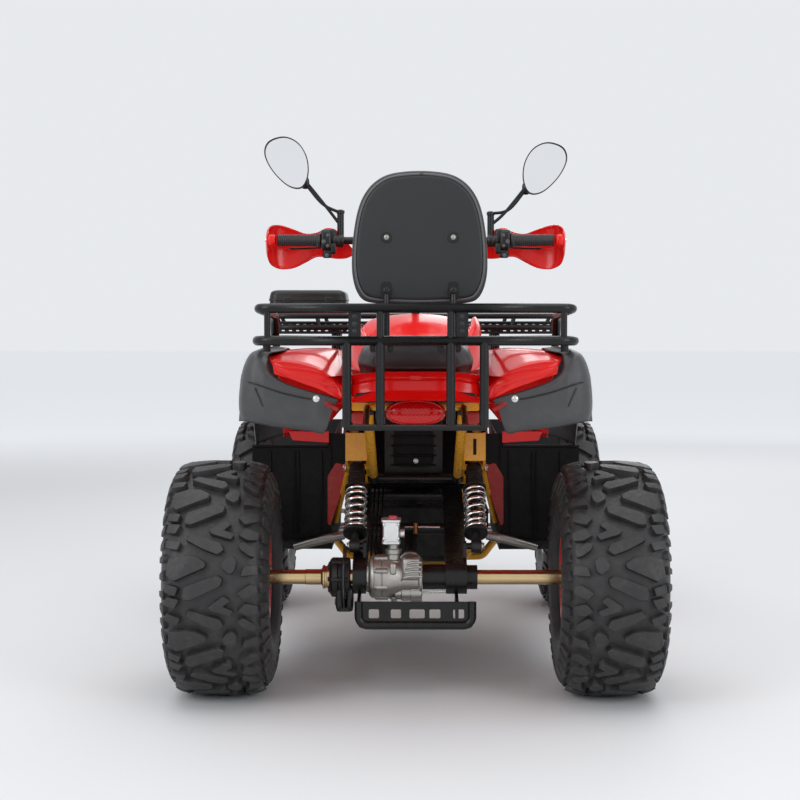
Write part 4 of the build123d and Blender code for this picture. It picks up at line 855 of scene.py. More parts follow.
class QUADBIKE_OT_seat(QuadOperator, bpy.types.Operator):
    """Two-up saddle with crowned cushion, side panels and piping"""
    bl_idname = "quadbike.seat"
    bl_label = "Seat"

    def execute(self, context):
        rows, columns = 180, 132
        run = smooth_run(SEAT_STATIONS, rows)
        y, bottom, top, low, high = run.T[:, :, None]
        turn = 0.20 * pi
        half = columns // 2
        a = np.concatenate([np.linspace(turn, pi - turn, half), np.linspace(pi - turn, tau + turn, half)])
        across = superpower(np.cos(a), SEAT_POWERS[0])
        share = (superpower(np.sin(a), SEAT_POWERS[1]) + 1) / 2
        width = bottom + (top - bottom) * share
        near_end = np.clip(np.minimum(y - y[0], y[-1] - y) / 26.0, 0, 1)
        swell = (1 - (1 - near_end) ** 2.6) ** (1 / 2.6)
        scale = 0.80 + 0.20 * swell
        x = across * width * scale
        z = low + (high - low) * (0.5 + (share - 0.5) * (0.72 + 0.28 * swell))
        topness = np.clip((share - 0.75) * 4, 0, 1)
        for line in SEAT_SEAMS_Y:
            z = z - SEAM_DEPTH * topness * np.exp(-((y - line) / SEAM_WIDTH) ** 2)
        z = z + 1.2 * topness * np.sin(x / 31.0 + y / 47.0) * np.sin(y / 63.0 + 1.3)
        grid = np.stack([x, np.broadcast_to(y, x.shape), z], axis=-1)
        cushion = Piece()
        cushion.add(grid[:, :half], ring=False)
        cushion.add(grid[:, half:], ring=False, slot=1)
        for row, turn_back in ((0, 1), (-1, -1)):
            ring = grid[row]
            middle = ring.mean(axis=0)
            cushion.add(np.stack([ring, middle + (ring - middle) * 0.5 + [0, -4.0 * turn_back, 0],
                                  middle + (ring - middle) * 0.02 + [0, -5.0 * turn_back, 0]]))
        seat = cushion.build("seat_cushion", ["seat_vinyl", "side_vinyl"], "seat_vinyl", crease=50,
                             replaces=("seat",))
        seams = Piece()
        radius = self.looks.seam_radius / MM
        left, right = grid[2:, half - 1][::-1], grid[2:, 0]
        back = grid[2, :half][::-1]
        path = np.concatenate([left, back[1:-1], right])
        path[:, 2] += 0.8
        seams.rod(path[::2], radius * 0.8, 10)
        seams.build("seat_piping", "seam_piping", "seat_vinyl")
        return {"FINISHED"}


# Backrest: half outline of the cushion as (x, z), from the top round to the bottom
BACK_OUTLINE = [(0, 1225), (64, 1219), (102, 1201), (128, 1171), (143, 1133), (152, 1083), (155.5, 1032),
                (154, 994),
                (145, 961), (128, 940), (96, 933), (48, 931), (0, 930)]
# Its middle and half sizes, how it sits beside the middle of the vehicle, and the stays' and screws' places
BACK_MIDDLE = (0.0, 1078.0)
BACK_HALVES = (155.0, 147.0)
BACK_SHARE, BACK_SHIFT = 0.965, 9
STAYS_X = (-64, 83)


def back_loop(inset, count=144):
    """The backrest's outline moved in towards its middle, the same distance at the widest place and at the top."""
    half = np.asarray(BACK_OUTLINE, float)
    whole = np.concatenate([half, half[-2:0:-1] * [-1, 1]])
    loop = smooth_loop(whole, count)
    middle = np.array(BACK_MIDDLE)
    return middle + (loop - middle) * np.maximum(1 - inset / np.array(BACK_HALVES), 0.0)


class QUADBIKE_OT_backrest(QuadOperator, bpy.types.Operator):
    """Backrest cushion with piping on a flat board, with its screws and two stays"""
    bl_idname = "quadbike.backrest"
    bl_label = "Backrest"

    def execute(self, context):
        def ring(inset, y):
            loop = back_loop(inset)
            return np.stack([loop[:, 0] * BACK_SHARE + BACK_SHIFT, np.full(len(loop), y), loop[:, 1]], axis=-1)

        cushion = Piece()
        cushion.add(through(ring, (155, -927), (60, -927), (14, -927), (3, -926), (0.4, -921), (0, -912),
                            (0.6, -900), (3, -890), (9, -882), (16, -878.6), (20, -880.6), (24, -878), (40, -873),
                            (70, -869.5), (110, -868), (155, -867.5)))
        pad = cushion.build("backrest_cushion", "seat_vinyl", "seat_vinyl", crease=60, replaces=("backrest_pad",))

        board = Piece()
        board.add(through(ring, (155, -935), (60, -935), (18, -935), (14.5, -934.6), (12.4, -933.4), (11.6, -931),
                          (11.6, -928)))
        for x in STAYS_X:
            board.add(turned([(0, 20), (0.2, 20), (3.2, 12), (3.4, 8)], (x, -935.2, 1078), AHEAD, 32))
        board.build("backrest_panel", "backrest_board", "dark_plastic", crease=30, replaces=("backrest_shell",))
        seam = Piece()
        radius = self.looks.seam_radius / MM
        loop = ring(8.6, -928.5)
        seam.add(tube(np.concatenate([loop, loop[:2]]), radius, 10))
        seam.build("backrest_piping", "seam_piping", "seat_vinyl")

        stays = Piece()
        for x in STAYS_X:
            path = smooth_run([(x, -944, 860), (x, -944, 900), (x, -943, 930), (x, -941, 950), (x, -940, 960)], 24)
            stays.rod(path, tapered(path, [0, 14, 23], [7.5, 7, 5]))
            stays.add(plate(box_outline(26, 40, 10), 5, 1, (x, -935.5, 962), across=LEFT))
            stays.add(hex_bolt((x, -940, 961), BACK, 8, 6))
        stays.build("backrest_stays", "black_powder_coat", "black_metal")
        screws = Piece()
        for x in STAYS_X:
            screws.add(dome_screw((x, -936.4, 1078), BACK, 4.6, 3.4), slot=1)
            screws.add(turned([(0, 0), (0, 12.5), (1.2, 12), (1.4, 0)], (x, -935.2, 1078), BACK, 32))
            screws.add(dome_screw((x, -946, 961), BACK, 6.5))
        screws.build("backrest_screws", ["smooth_black_plastic", "bare_forging"], "grey_steel")
        return {"FINISHED"}


# Rear bodywork. Stations of the right half as (x, y, z), from the middle outwards
REAR_DECK = [
    station(-330, (0, 722), (128, 722), (150, 712), (172, 690), (196, 664), (232, 628), (300, 603), (340, 596)),
    station(-380, (0, 724), (136, 724), (156, 736), (172, 742), (206, 728), (250, 705), (300, 682), (340, 664)),
    station(-430, (0, 726), (147, 726), (158, 760), (174, 784), (206, 782), (250, 768), (300, 746), (342, 724)),
    station(-500, (0, 727), (147, 727), (160, 780), (176, 810), (206, 812), (250, 802), (300, 788), (342, 774)),
    station(-580, (0, 727), (147, 727), (162, 788), (178, 820), (206, 826), (250, 822), (300, 814), (342, 806)),
    station(-680, (0, 726), (147, 726), (162, 784), (180, 818), (206, 828), (250, 830), (300, 826), (342, 820)),
    station(-780, (0, 724), (147, 724), (160, 768), (178, 794), (206, 812), (250, 822), (300, 822), (342, 816)),
    station(-850, (0, 721), (147, 722), (158, 748), (174, 768), (198, 788), (240, 805), (290, 812), (330, 808)),
    station(-880, (0, 719), (147, 721), (158, 742), (172, 758), (194, 777), (234, 796), (284, 804), (322, 800)),
    [(0, -889, 716), (147, -889, 718), (158, -890, 738), (170, -891, 752), (192, -892, 768), (232, -892, 785),
     (282, -892, 795), (318, -892, 790)],
    [(0, -889, 712), (147, -889, 714), (158, -890, 724), (168, -891, 730), (192, -892, 733), (232, -892, 748),
     (282, -892, 765), (316, -892, 776)],
]
FLARE = [
    [(172, -876, 719), (172, -884, 721), (172, -892, 720), (173, -895, 717), (175, -896, 713), (178, -896, 709),
     (181, -896, 704), (184, -895, 700), (187, -888, 697)],
    [(203, -876, 727), (203, -885, 730), (203, -893, 729), (203, -897, 723), (203, -898, 704), (203, -898, 684),
     (203, -897, 664), (203, -894, 650), (203, -886, 645)],
    [(237, -876, 735), (237, -885, 738), (237, -893, 737), (237, -897, 731), (237, -898, 712), (237, -899, 690),
     (237, -898, 668), (237, -895, 653), (237, -887, 648)],
    [(288, -876, 752), (288, -885, 755), (288, -893, 754), (288, -898, 747), (288, -900, 724), (288, -900, 700),
     (288, -899, 674), (288, -895, 658), (288, -887, 653)],
    [(320, -870, 772), (321, -880, 776), (322, -891, 775), (322, -897, 766), (322, -900, 738), (322, -900, 708),
     (321, -899, 680), (320, -895, 662), (320, -886, 657)],
    [(332, -860, 803), (336, -872, 806), (339, -882, 806), (341, -892, 797), (343, -899, 762), (344, -900, 722),
     (343, -898, 688), (342, -893, 667), (341, -884, 661)],
    [(330, -842, 820), (343, -856, 823), (354, -868, 822), (363, -881, 812), (369, -891, 778), (371, -894, 732),
     (370, -893, 694), (368, -887, 671), (365, -878, 665)],
    [(312, -812, 826), (336, -826, 829), (357, -838, 828), (375, -851, 817), (388, -862, 784), (393, -868, 738),
     (394, -868, 700), (392, -863, 677), (388, -856, 671)],
    [(302, -770, 828), (330, -776, 832), (356, -782, 830), (378, -788, 818), (393, -795, 788), (399, -800, 752),
     (402, -801, 722), (402, -799, 700), (399, -794, 693)],
    [(300, -690, 831), (328, -692, 834), (355, -694, 831), (378, -696, 819), (394, -698, 797), (402, -699, 776),
     (406, -700, 760), (408, -700, 748), (406, -698, 741)],
    station(-600, (300, 823), (328, 825), (355, 822), (378, 811), (395, 795), (404, 781), (409, 770), (411, 760),
            (410, 753)),
    station(-510, (300, 795), (328, 796), (355, 793), (378, 783), (395, 769), (404, 756), (409, 744), (411, 733),
            (410, 726)),
    station(-430, (300, 752), (328, 744), (355, 738), (378, 729), (395, 716), (404, 703), (409, 690), (411, 678),
            (410, 670)),
    [(300, -372, 690), (328, -370, 674), (355, -368, 664), (378, -366, 655), (395, -364, 643), (404, -362, 632),
     (409, -360, 622), (411, -358, 612), (410, -357, 604)],
    [(300, -338, 612), (328, -336, 604), (355, -334, 598), (378, -331, 592), (395, -328, 584), (404, -325, 577),
     (409, -322, 570), (411, -320, 564), (410, -318, 559)],
]


class QUADBIKE_OT_rear_body(QuadOperator, bpy.types.Operator):
    """Red rear fender with its turned-down lip, dark flares and the tail fairing"""
    bl_idname = "quadbike.rear_body"
    bl_label = "Rear bodywork"

    def execute(self, context):
        red_skin("rear_fender_skin", "rear_fender", REAR_DECK, 84, 141)

        flares = Piece()
        sheet = smooth_surface(FLARE, 120, 60)
        u = np.linspace(0, 1, 120)[:, None]
        v = np.linspace(0, 1, 60)[None, :]
        # A step in the face seen from behind, and a swelling along the side
        back_face = np.clip((0.40 - u) / 0.06, 0, 1)
        crease = 0.36 + 0.06 * u / 0.4
        step = np.clip((v - crease) / 0.02, 0, 1) * np.clip((0.86 - v) / 0.05, 0, 1)
        sheet[..., 1] -= 2.6 * back_face * step * np.clip((u - 0.06) / 0.05, 0, 1)
        side = np.clip((u - 0.5) / 0.05, 0, 1)
        sheet[..., 0] += 1.8 * side * np.clip((v - 0.52) / 0.03, 0, 1) * np.clip((0.9 - v) / 0.04, 0, 1)
        flares.add(sheet, ring=False).mirrored()
        flares.build("rear_flare_skin", "grained_grey_plastic", "dark_plastic", crease=42,
                     replaces=("rear_flares",), wall=3.0)

        # Rounded nose of the tail: a section of (outwards, height) carried round the plan outline
        section = np.array([(-70, 782), (-30, 782.5), (-14, 781), (-5, 777.5), (-1, 773.5), (1.5, 769), (1.2, 765),
                            (-0.8, 762), (-1.6, 757), (-2.2, 749), (-3.4, 741), (-5, 737.5), (-9, 735.2),
                            (-20, 731),
                            (-36, 725), (-52, 721), (-70, 720)], float)
        plan = smooth_run([(146, -780), (146, -820), (143, -852), (132, -874), (108, -886), (60, -892), (0, -894),
                           (-60, -892), (-108, -886), (-132, -874), (-143, -852), (-146, -820), (-146, -780)], 121)
        ahead = unit(np.gradient(plan, axis=0))
        outward = np.stack([ahead[:, 1], -ahead[:, 0]], axis=-1)
        fine = smooth_run(section, 64)
        x = plan[:, None, 0] + outward[:, None, 0] * fine[None, :, 0]
        y = plan[:, None, 1] + outward[:, None, 1] * fine[None, :, 0]
        z = np.broadcast_to(fine[None, :, 1], x.shape) - 14 * np.clip((np.abs(plan[:, None, 0]) - 60) / 86, 0,
                                                                      1) ** 2
        tail = Piece()
        tail.add(np.stack([x, y, z], axis=-1), ring=False)
        tail.add(plate(box_outline(27, 11, 2.5), 4, 1, (0, -892, 768)))
        tail.build("tail_nose", "gloss_red_plastic", "red_plastic", crease=35, replaces=("tail_fairing",))
        # Black plates filling the recess between the tail nose and the lamp: painted shade
        for name, corners, thickness, edge, y in (
            ("tail_recess_shade", [(-136, 712), (136, 712), (134, 733), (60, 738), (-60, 738), (-134, 733)], 5, 1,
             -893.7),
            ("recess_shade_middle", [(-42, 716), (42, 716), (34, 736), (-34, 736)], 8, 1.5, -894.3),
        ):
            Piece().add(plate(rounded_outline(corners, 4), thickness, edge, (0, y, 0), across=LEFT)).build(
                name, "smooth_black_plastic", "dark_plastic")

        trim = Piece()
        for side in (-1, 1):
            trim.add(dome_screw((side * 221.5, -899.5, 721), BACK, 6.0))
        trim.build("flare_screws", "bright_zinc", "grey_steel")
        # The flare tabs take the darkened red: painted shade
        tab = rounded_outline([(170, 700), (176, 692), (204, 708), (200, 716)], 2)
        Piece().add(plate(tab, 3, 0.8, (0, -897, 0))).mirrored().build(
            "flare_tabs", "dark_red_inside", "red_plastic")
        return {"FINISHED"}


class QUADBIKE_OT_tail_lamp(QuadOperator, bpy.types.Operator):
    """Lozenge tail lamp with a bright rim, domed lens and its housing"""
    bl_idname = "quadbike.tail_lamp"
    bl_label = "Tail lamp"

    def execute(self, context):
        a = np.linspace(0, tau, 96, endpoint=False)
        outline = np.stack([superpower(np.cos(a), 2.5) * 66,
                            superpower(np.sin(a), 2.3) * np.where(np.sin(a) > 0, 29, 26)], axis=-1)

        def ring(share, y):
            return np.stack([outline[:, 0] * share, np.full(len(a), y), outline[:, 1] * share + 688], axis=-1)

        Piece().add(through(ring, (1.0, -884), (1.0, -897), (0.985, -899.5), (0.95, -901), (0.915, -900.6),
                            (0.89, -899.2), (0.87, -899.8), (0.72, -903), (0.5, -905.5), (0.25, -907),
                            (0.0, -907.4))).build(
            "tail_lamp_lens", "red_lens", "lamp_red", crease=28, replaces=("tail_lamp",))
        Piece().add(through(ring, (0.0, -866), (0.6, -866), (0.9, -870), (1.03, -880), (1.03, -889),
                            (0.9, -890))).build(
            "tail_lamp_housing", "smooth_black_plastic", "dark_plastic")
        return {"FINISHED"}


SKIN_WALL = 3.5


def red_skin(name, node, halves, rows, columns):
    """Glossy red moulded skin through half sections and their mirror images, in place of the node."""
    sheet = smooth_surface([both_sides(half) for half in halves], rows, columns)
    Piece().add(sheet, ring=False).build(
        name, "gloss_red_plastic", "red_plastic", crease=48, replaces=(node,), wall=SKIN_WALL)


def pebble(centre, halves, power=4.0, rows=18, columns=36, across=RIGHT, up=UP):
    """Rounded box: |x/a|^p + |y/b|^p + |z/c|^p = 1, from powers 2/p of the cosines and sines of two angles."""
    v = np.linspace(-pi / 2, pi / 2, rows)[:, None]
    u = np.linspace(0, tau, columns, endpoint=False)[None, :]
    x = halves[0] * superpower(np.cos(v), power) * superpower(np.cos(u), power)
    y = halves[1] * superpower(np.cos(v), power) * superpower(np.sin(u), power)
    z = halves[2] * superpower(np.sin(v), power) * np.ones_like(u)
    across, up = unit(across), unit(up)
    deep = np.cross(up, across)
    return np.asarray(centre, float) + x[..., None] * across + y[..., None] * deep + z[..., None] * up


# Steering: the bar runs straight from its knee to its end, where y falls by a ninth of the way out

BAR_ALONG = unit((9.0, -1.0, 0.0))
BAR_Z = 1126.0
STEM_UP = (0, -0.342, 0.94)


def on_bar(x):
    """The bar's axis at a distance out from the middle."""
    return np.array([x, 288.5 - (x - 150) / 9, BAR_Z])


GUARD = [
    (430, 250, 1100, 1146), (434, 274, 1082, 1158), (431, 300, 1062, 1167), (419, 323, 1050, 1174),
    (396, 338, 1043.5, 1173), (360, 346, 1048, 1162), (325, 349, 1064, 1150), (292, 350, 1080, 1153),
    (262, 349, 1079, 1166), (232, 346, 1075, 1160), (205, 342, 1076, 1130), (188, 338, 1082, 1108),
]
MIRROR = [(-382, 1427), (-340, 1408), (-314, 1364), (-311, 1312), (-330, 1276), (-370, 1282), (-416, 1326),
          (-440, 1376), (-428, 1413)]


class QUADBIKE_OT_bar_fittings(QuadOperator, bpy.types.Operator):
    """Ribbed grips, switch housings, levers, display, handguards and mirrors on the handlebar"""
    bl_idname = "quadbike.bar_fittings"
    bl_label = "Bar fittings"

    def execute(self, context):
        grips = Piece()
        along = np.linspace(0, 112, 225)
        ridge = 16.9 + 0.6 * np.cos(along * tau / 5.6)
        rows = [(-9, 12), (-9, 21), (-7.5, 21.4), (-4, 21.4), (-2, 18.5)] + list(zip(along, ridge)) + [
            (113, 16.8), (114.5, 15), (115, 9), (115, 0)]
        grips.add(turned(rows, on_bar(289), BAR_ALONG)).mirrored()
        grips.build("grip_rubbers", "grip_rubber", "grip_rubber", body="steering", crease=60, replaces=("grips",))

        boxes = Piece()
        for x, halves, lift, back in ((262, (17, 25, 30), 2, 2), (246, (15, 20, 22), 12, 6),
                                      (258, (14, 16, 13), -38, 4),
                                      (240, (9, 13, 16), -24, -6)):
            boxes.add(pebble(on_bar(x) + [0, back, lift], halves, 4.5, across=BAR_ALONG))
        for x, radius in ((233, 17), (219, 19)):
            boxes.add(turned([(-8, 12), (-8, radius), (-6, radius + 1), (6, radius + 1), (8, radius), (8, 12)],
                             on_bar(x), BAR_ALONG, 32))
        blade = smooth_run([on_bar(262) + [0, 20, -16], on_bar(276) + [0, 44, -18], on_bar(318) + [0, 52, -20],
                            on_bar(372) + [0, 44, -22]], 40)
        size = tapered(blade, [0, 6, 34, 37, 39], [7, 5, 4.4, 6, 1])
        ring = np.linspace(0, tau, 16, endpoint=False)
        boxes.add(carried(blade, np.stack([np.cos(ring), 0.7 * np.sin(ring)], axis=-1)[None] * size[:, None, None]),
                  caps=True)
        boxes.mirrored()
        boxes.add(pebble((0, 276, 1096), (60, 34, 17), 5, up=STEM_UP))
        boxes.build("switch_housings", "smooth_black_plastic", "dark_plastic", body="steering", crease=45,
                    replaces=("bar_controls",))
        buttons = Piece()
        for x, z, radius in ((256, 14, 4.5), (267, -4, 5.5), (256, -16, 4), (258, -44, 5)):
            buttons.add(turned([(0, radius + 1), (2, radius + 1), (2.2, radius), (5, radius * 0.9), (5.6, 0)],
                               on_bar(x) + [0, -21, z], BACK, 20))
        buttons.mirrored()
        buttons.build("bar_buttons", "side_vinyl", "dark_plastic", body="steering")
        Piece().add(pebble((0, 271, 1111), (46, 24, 3), 6, up=STEM_UP)).build(
            "display_window", "clear_lens", "lamp_clear", body="steering")

        guards = Piece()
        run = smooth_run(GUARD, 120)
        v = np.linspace(0, 1, 40)[None, :]
        centre = np.array([330.0, 290.0])
        away = unit(run[:, :2] - centre)
        swell = 9 * (1 - (2 * v - 1) ** 2) - 5 * np.exp(-(v / 0.05) ** 2) - 5 * np.exp(-((1 - v) / 0.05) ** 2)
        swell = swell - 3.2 * np.exp(-((v - 0.5) / 0.03) ** 2) * np.clip(1.6 - np.abs(run[:, :1] - 330) / 60, 0, 1)
        x = run[:, :1] + away[:, :1] * swell * 0.4
        y = run[:, 1:2] + away[:, 1:2] * swell * 0.4
        z = run[:, 2:3] + (run[:, 3:4] - run[:, 2:3]) * v
        guards.add(np.stack([x, y, z], axis=-1), ring=False).mirrored()
        guards.build("handguard_shells", "gloss_red_plastic", "red_plastic", body="steering", crease=50,
                     replaces=("handguards",), wall=SKIN_WALL)
        Piece().add(pebble((419, 258.5, BAR_Z), (13, 15, 17), 3.2)).mirrored().build(
            "handguard_ends", "gloss_red_plastic", "red_plastic", body="steering")
        Piece().add(hex_bolt((433, 262, BAR_Z), RIGHT)).mirrored().build(
            "handguard_bolts", "bright_zinc", "grey_steel", body="steering")

        self.mirrors()
        return {"FINISHED"}

    def mirrors(self):
        """Leaf shaped mirrors, each on a post and two rods that draw apart to its foot."""
        shells, glasses, rods = Piece(), Piece(), Piece()
        for side, drop in ((1, 0.0), (-1, -17.0)):
            loop = smooth_loop(MIRROR, 96)
            middle = loop.mean(axis=0)

            def ring(share, y):
                flat = middle + (loop - middle) * share
                lean = (flat[:, 1] - middle[1]) * 0.06 - (flat[:, 0] - middle[0]) * 0.10
                return np.stack([flat[:, 0] * side, y + lean, flat[:, 1] + drop], axis=-1)

            shells.add(through(ring, (0.935, 262), (0.945, 257), (0.975, 255.5), (0.995, 257), (1, 261),
                               (0.985, 268), (0.93, 276), (0.80, 284), (0.6, 289), (0.3, 292), (0.0, 292.5)))
            glasses.add(through(ring, (0.94, 262.5), (0.94, 259.5), (0.6, 259.5), (0.0, 259.5)))
            foot = np.array([-219.0 * side, on_bar(219)[1], 0.0])
            rods.add(turned([(0, 9), (1, 10), (70, 10), (71, 12), (79, 12), (82, 8), (82, 0)],
                            foot + [0, 0, 1134 + drop * 0.3], UP, 24))
            for start, knee, end in (((-212, 1204), (-270, 1232), (-322, 1292)), ((-219, 1170), (-262, 1226),
                                                                                  (-330, 1310))):
                path = smooth_run([(start[0] * side, foot[1], start[1]),
                                   (knee[0] * side, foot[1] - 2, knee[1] + drop),
                                   (end[0] * side, 283, end[1] + drop)], 24)
                rods.rod(path, 4.6, 12)
            rods.add(pebble((-322 * side, 284, 1294 + drop), (12, 9, 18), 3))
        shells.build("mirror_shells", "smooth_black_plastic", "dark_plastic", body="steering", crease=40,
                     replaces=("mirror_frames",))
        glasses.build("mirror_faces", "mirror_silver", "mirror", body="steering", crease=40,
                      replaces=("mirror_glass",))
        rods.build("mirror_rods", "black_powder_coat", "black_metal", body="steering")


# Bodywork ahead of the seat. Stations of the right half as (x, y, z), from the middle outwards
COVER = [
    station(-14, (0, 832), (40, 831), (74, 824), (92, 808), (100, 800), (106, 794), (112, 786), (118, 772),
            (122, 752)),
    station(60, (0, 856), (52, 854), (92, 843), (112, 824), (124, 820), (134, 830), (146, 822), (152, 792),
            (154, 750)),
    station(140, (0, 890), (62, 887), (112, 874), (134, 858), (146, 856), (160, 876), (174, 876), (184, 842),
            (184, 756)),
    station(220, (0, 911), (66, 907), (124, 896), (148, 880), (154, 872), (163, 898), (176, 901), (188, 868),
            (190, 762)),
    station(280, (0, 911), (64, 906), (120, 893), (146, 874), (153, 866), (163, 888), (175, 891), (186, 860),
            (188, 772)),
    station(304, (0, 900), (62, 896), (114, 882), (140, 862), (149, 854), (160, 872), (172, 874), (182, 844),
            (184, 776)),
]
HOOD = [
    station(382, (0, 866), (72, 862), (118, 850), (150, 806), (178, 784), (240, 764), (320, 716), (400, 670),
            (444, 648)),
    station(430, (0, 869), (76, 865), (124, 852), (158, 816), (190, 800), (250, 790), (330, 756), (404, 718),
            (447, 696)),
    station(500, (0, 867), (78, 863), (128, 850), (164, 816), (198, 804), (262, 802), (340, 786), (408, 760),
            (449, 738)),
    station(590, (0, 859), (78, 855), (128, 841), (166, 808), (202, 797), (268, 801), (348, 796), (414, 776),
            (449, 756)),
    station(680, (0, 846), (76, 842), (126, 828), (166, 800), (204, 790), (270, 796), (350, 792), (414, 774),
            (449, 754)),
    station(770, (0, 826), (74, 822), (124, 808), (164, 786), (204, 776), (270, 780), (348, 774), (412, 756),
            (449, 736)),
    station(850, (0, 800), (72, 796), (120, 783), (162, 764), (204, 752), (270, 750), (342, 738), (406, 714),
            (447, 694)),
    station(906, (0, 774), (70, 770), (118, 758), (160, 740), (204, 726), (264, 716), (332, 696), (394, 668),
            (436, 650)),
    station(928, (0, 746), (70, 743), (116, 733), (158, 716), (202, 700), (256, 684), (318, 660), (372, 638),
            (410, 624)),
]


class QUADBIKE_OT_front_body(QuadOperator, bpy.types.Operator):
    """Cover between seat and bars with a ridge each side, and the hood over the front wheels"""
    bl_idname = "quadbike.front_body"
    bl_label = "Front bodywork"

    def execute(self, context):
        red_skin("cover_skin", "tank_cover", COVER, 72, 137)
        red_skin("hood_skin", "front_fender", HOOD, 96, 145)
        return {"FINISHED"}


class QUADBIKE_OT_front_rack(QuadOperator, bpy.types.Operator):
    """Front carrier: a bent rim over a deck of pierced slats, on posts, with the low case on its left"""
    bl_idname = "quadbike.front_rack"
    bl_label = "Front rack"

    def execute(self, context):
        rack = Piece()
        rim = smooth_run([(0, 470, 906), (180, 470, 906), (330, 470, 906), (410, 476, 906), (438, 500, 906),
                          (444, 560, 906), (444, 720, 906), (444, 890, 906), (436, 934, 906), (404, 955, 906),
                          (320, 960, 906), (160, 960, 906), (0, 960, 906)], 160)
        low = rim * [0.97, 1, 1] - [0, 0, 34]
        rack.add(tube(rim, 8.5))
        rack.add(tube(low, 7.5))
        for x, y in ((436, 520), (442, 700), (440, 880), (300, 960), (120, 960), (300, 470), (120, 470)):
            rack.add(tube([(x, y, 905), (x * 0.985, y, 890), (x * 0.97, y, 873)], 6.5, 12))
        for x in (150, 250):
            for y in (520, 640, 800, 900):
                rack.rod([(x, y, 868), (x, y, 840), (x, y + 2, 792)], 8, 12)
        for y in (540, 660, 780, 900):
            rack.add(tube([(0, y, 869), (150, y, 869), (300, y, 869), (430, y, 870)], 7, 12))
        for x in (66, 132, 198, 264, 330, 396):
            rack.add(plate(box_outline(30, 470, 6), 8, 2, (x, 715, 872), up=AHEAD))
        # Pierced edge of the deck, as bars between two rails
        rack.rod([(140, 478, 856), (280, 478, 856), (424, 480, 856)], 4.5, 10)
        rack.rod([(140, 478, 886), (280, 478, 886), (424, 480, 886)], 4.5, 10)
        for x in range(150, 430, 22):
            rack.add(plate(box_outline(13, 30, 4), 3, 1, (x, 479, 871)))
        rack.mirrored()
        rack.add(plate(box_outline(30, 470, 6), 8, 2, (0, 715, 872), up=AHEAD))
        rack.build("front_carrier", "black_powder_coat", "black_metal", replaces=("front_rack",))
        slots = Piece()
        for x in (0, 66, 132, 198, 264, 330, 396):
            for y in np.arange(520, 920, 44):
                slots.add(plate(box_outline(13, 28, 6), 0.9, 0.3, (x, y, 879.8), up=AHEAD))
        slots.mirrored()
        slots.build("carrier_slots", "hose_rubber", "black_metal")

        case = Piece()
        foot = rounded_outline([(-456, 590), (-215, 590), (-215, 780), (-456, 780)], 26, 8)
        middle = foot.mean(axis=0)
        rings = []
        for grow, height in ((-4, 915), (-1, 917), (0, 920), (0, 951), (-0.5, 953), (2, 954), (2, 957), (1, 959),
                             (-1, 972), (-3, 980), (-8, 985), (-16, 987), (-60, 987.5)):
            share = 1 + grow / 95
            flat = middle + (foot - middle) * share if grow > -60 else middle + foot * 0
            rings.append(np.column_stack([flat, np.full(len(foot), height)]))
        case.add(np.stack(rings))
        for x in (-400, -270):
            case.add(pebble((x, 588, 954), (13, 4, 11), 5))
        case.build("rack_box", "smooth_black_plastic", "dark_plastic", crease=35, replaces=("rack_case",))
        return {"FINISHED"}


class QUADBIKE_OT_rear_rack(QuadOperator, bpy.types.Operator):
    """Rear carrier of bent tube: two rails, corner posts, cross bars, lamp guard and two bolted plates"""
    bl_idname = "quadbike.rear_rack"
    bl_label = "Rear rack"

    def execute(self, context):
        low, high, back = 852, 922, -1024.5
        rack = Piece()
        for corners, bend, radius in (
            ([(200, -470, 846), (344.5, -500, 848), (344.5, back, low), (0, back, low)], 42, 10.5),
            ([(341, -560, 852), (339, -600, 908), (339, back, high), (0, back, high)], 30, 10.5),
            ([(200, -470, 846), (170, -560, 848), (170, back + 4, low)], 36, 9),
        ):
            rack.rod(bent_run(corners, bend), radius, 20)
        for start, end, radius in (
            ((319, back, low), (319, back, high), 7), ((148, back, low), (148, back, 665), 10),
            ((76, back, low), (76, back, 665), 10), ((76, back, low), (76, -944, low), 8),
            ((76, back, low), (76, back, high), 8), ((108, back, 665), (108, -878, 700), 7),
            ((335, -600, low), (335, -600, 813), 9), ((335, -860, low), (335, -860, 825), 9),
            ((170, -720, low - 1), (344, -720, low - 1), 7), ((170, -560, low - 4), (343, -560, low - 4), 7),
        ):
            middle = (np.array(start) + np.array(end)) / 2
            rack.rod([start, middle, end], radius)
        rack.mirrored()
        rack.rod([(-155, back, 665), (0, back, 665), (155, back, 665)], 7)
        rack.rod([(-170, -944, low), (0, -944, low), (170, -944, low)], 8)
        for x in (-131, 100):
            rack.add(plate(box_outline(27, 64, 4), 9, 1.5, (x, back + 4.5, 887)))
        rack.build("rear_carrier", "black_powder_coat", "black_metal", replaces=("rear_rack",))
        return {"FINISHED"}


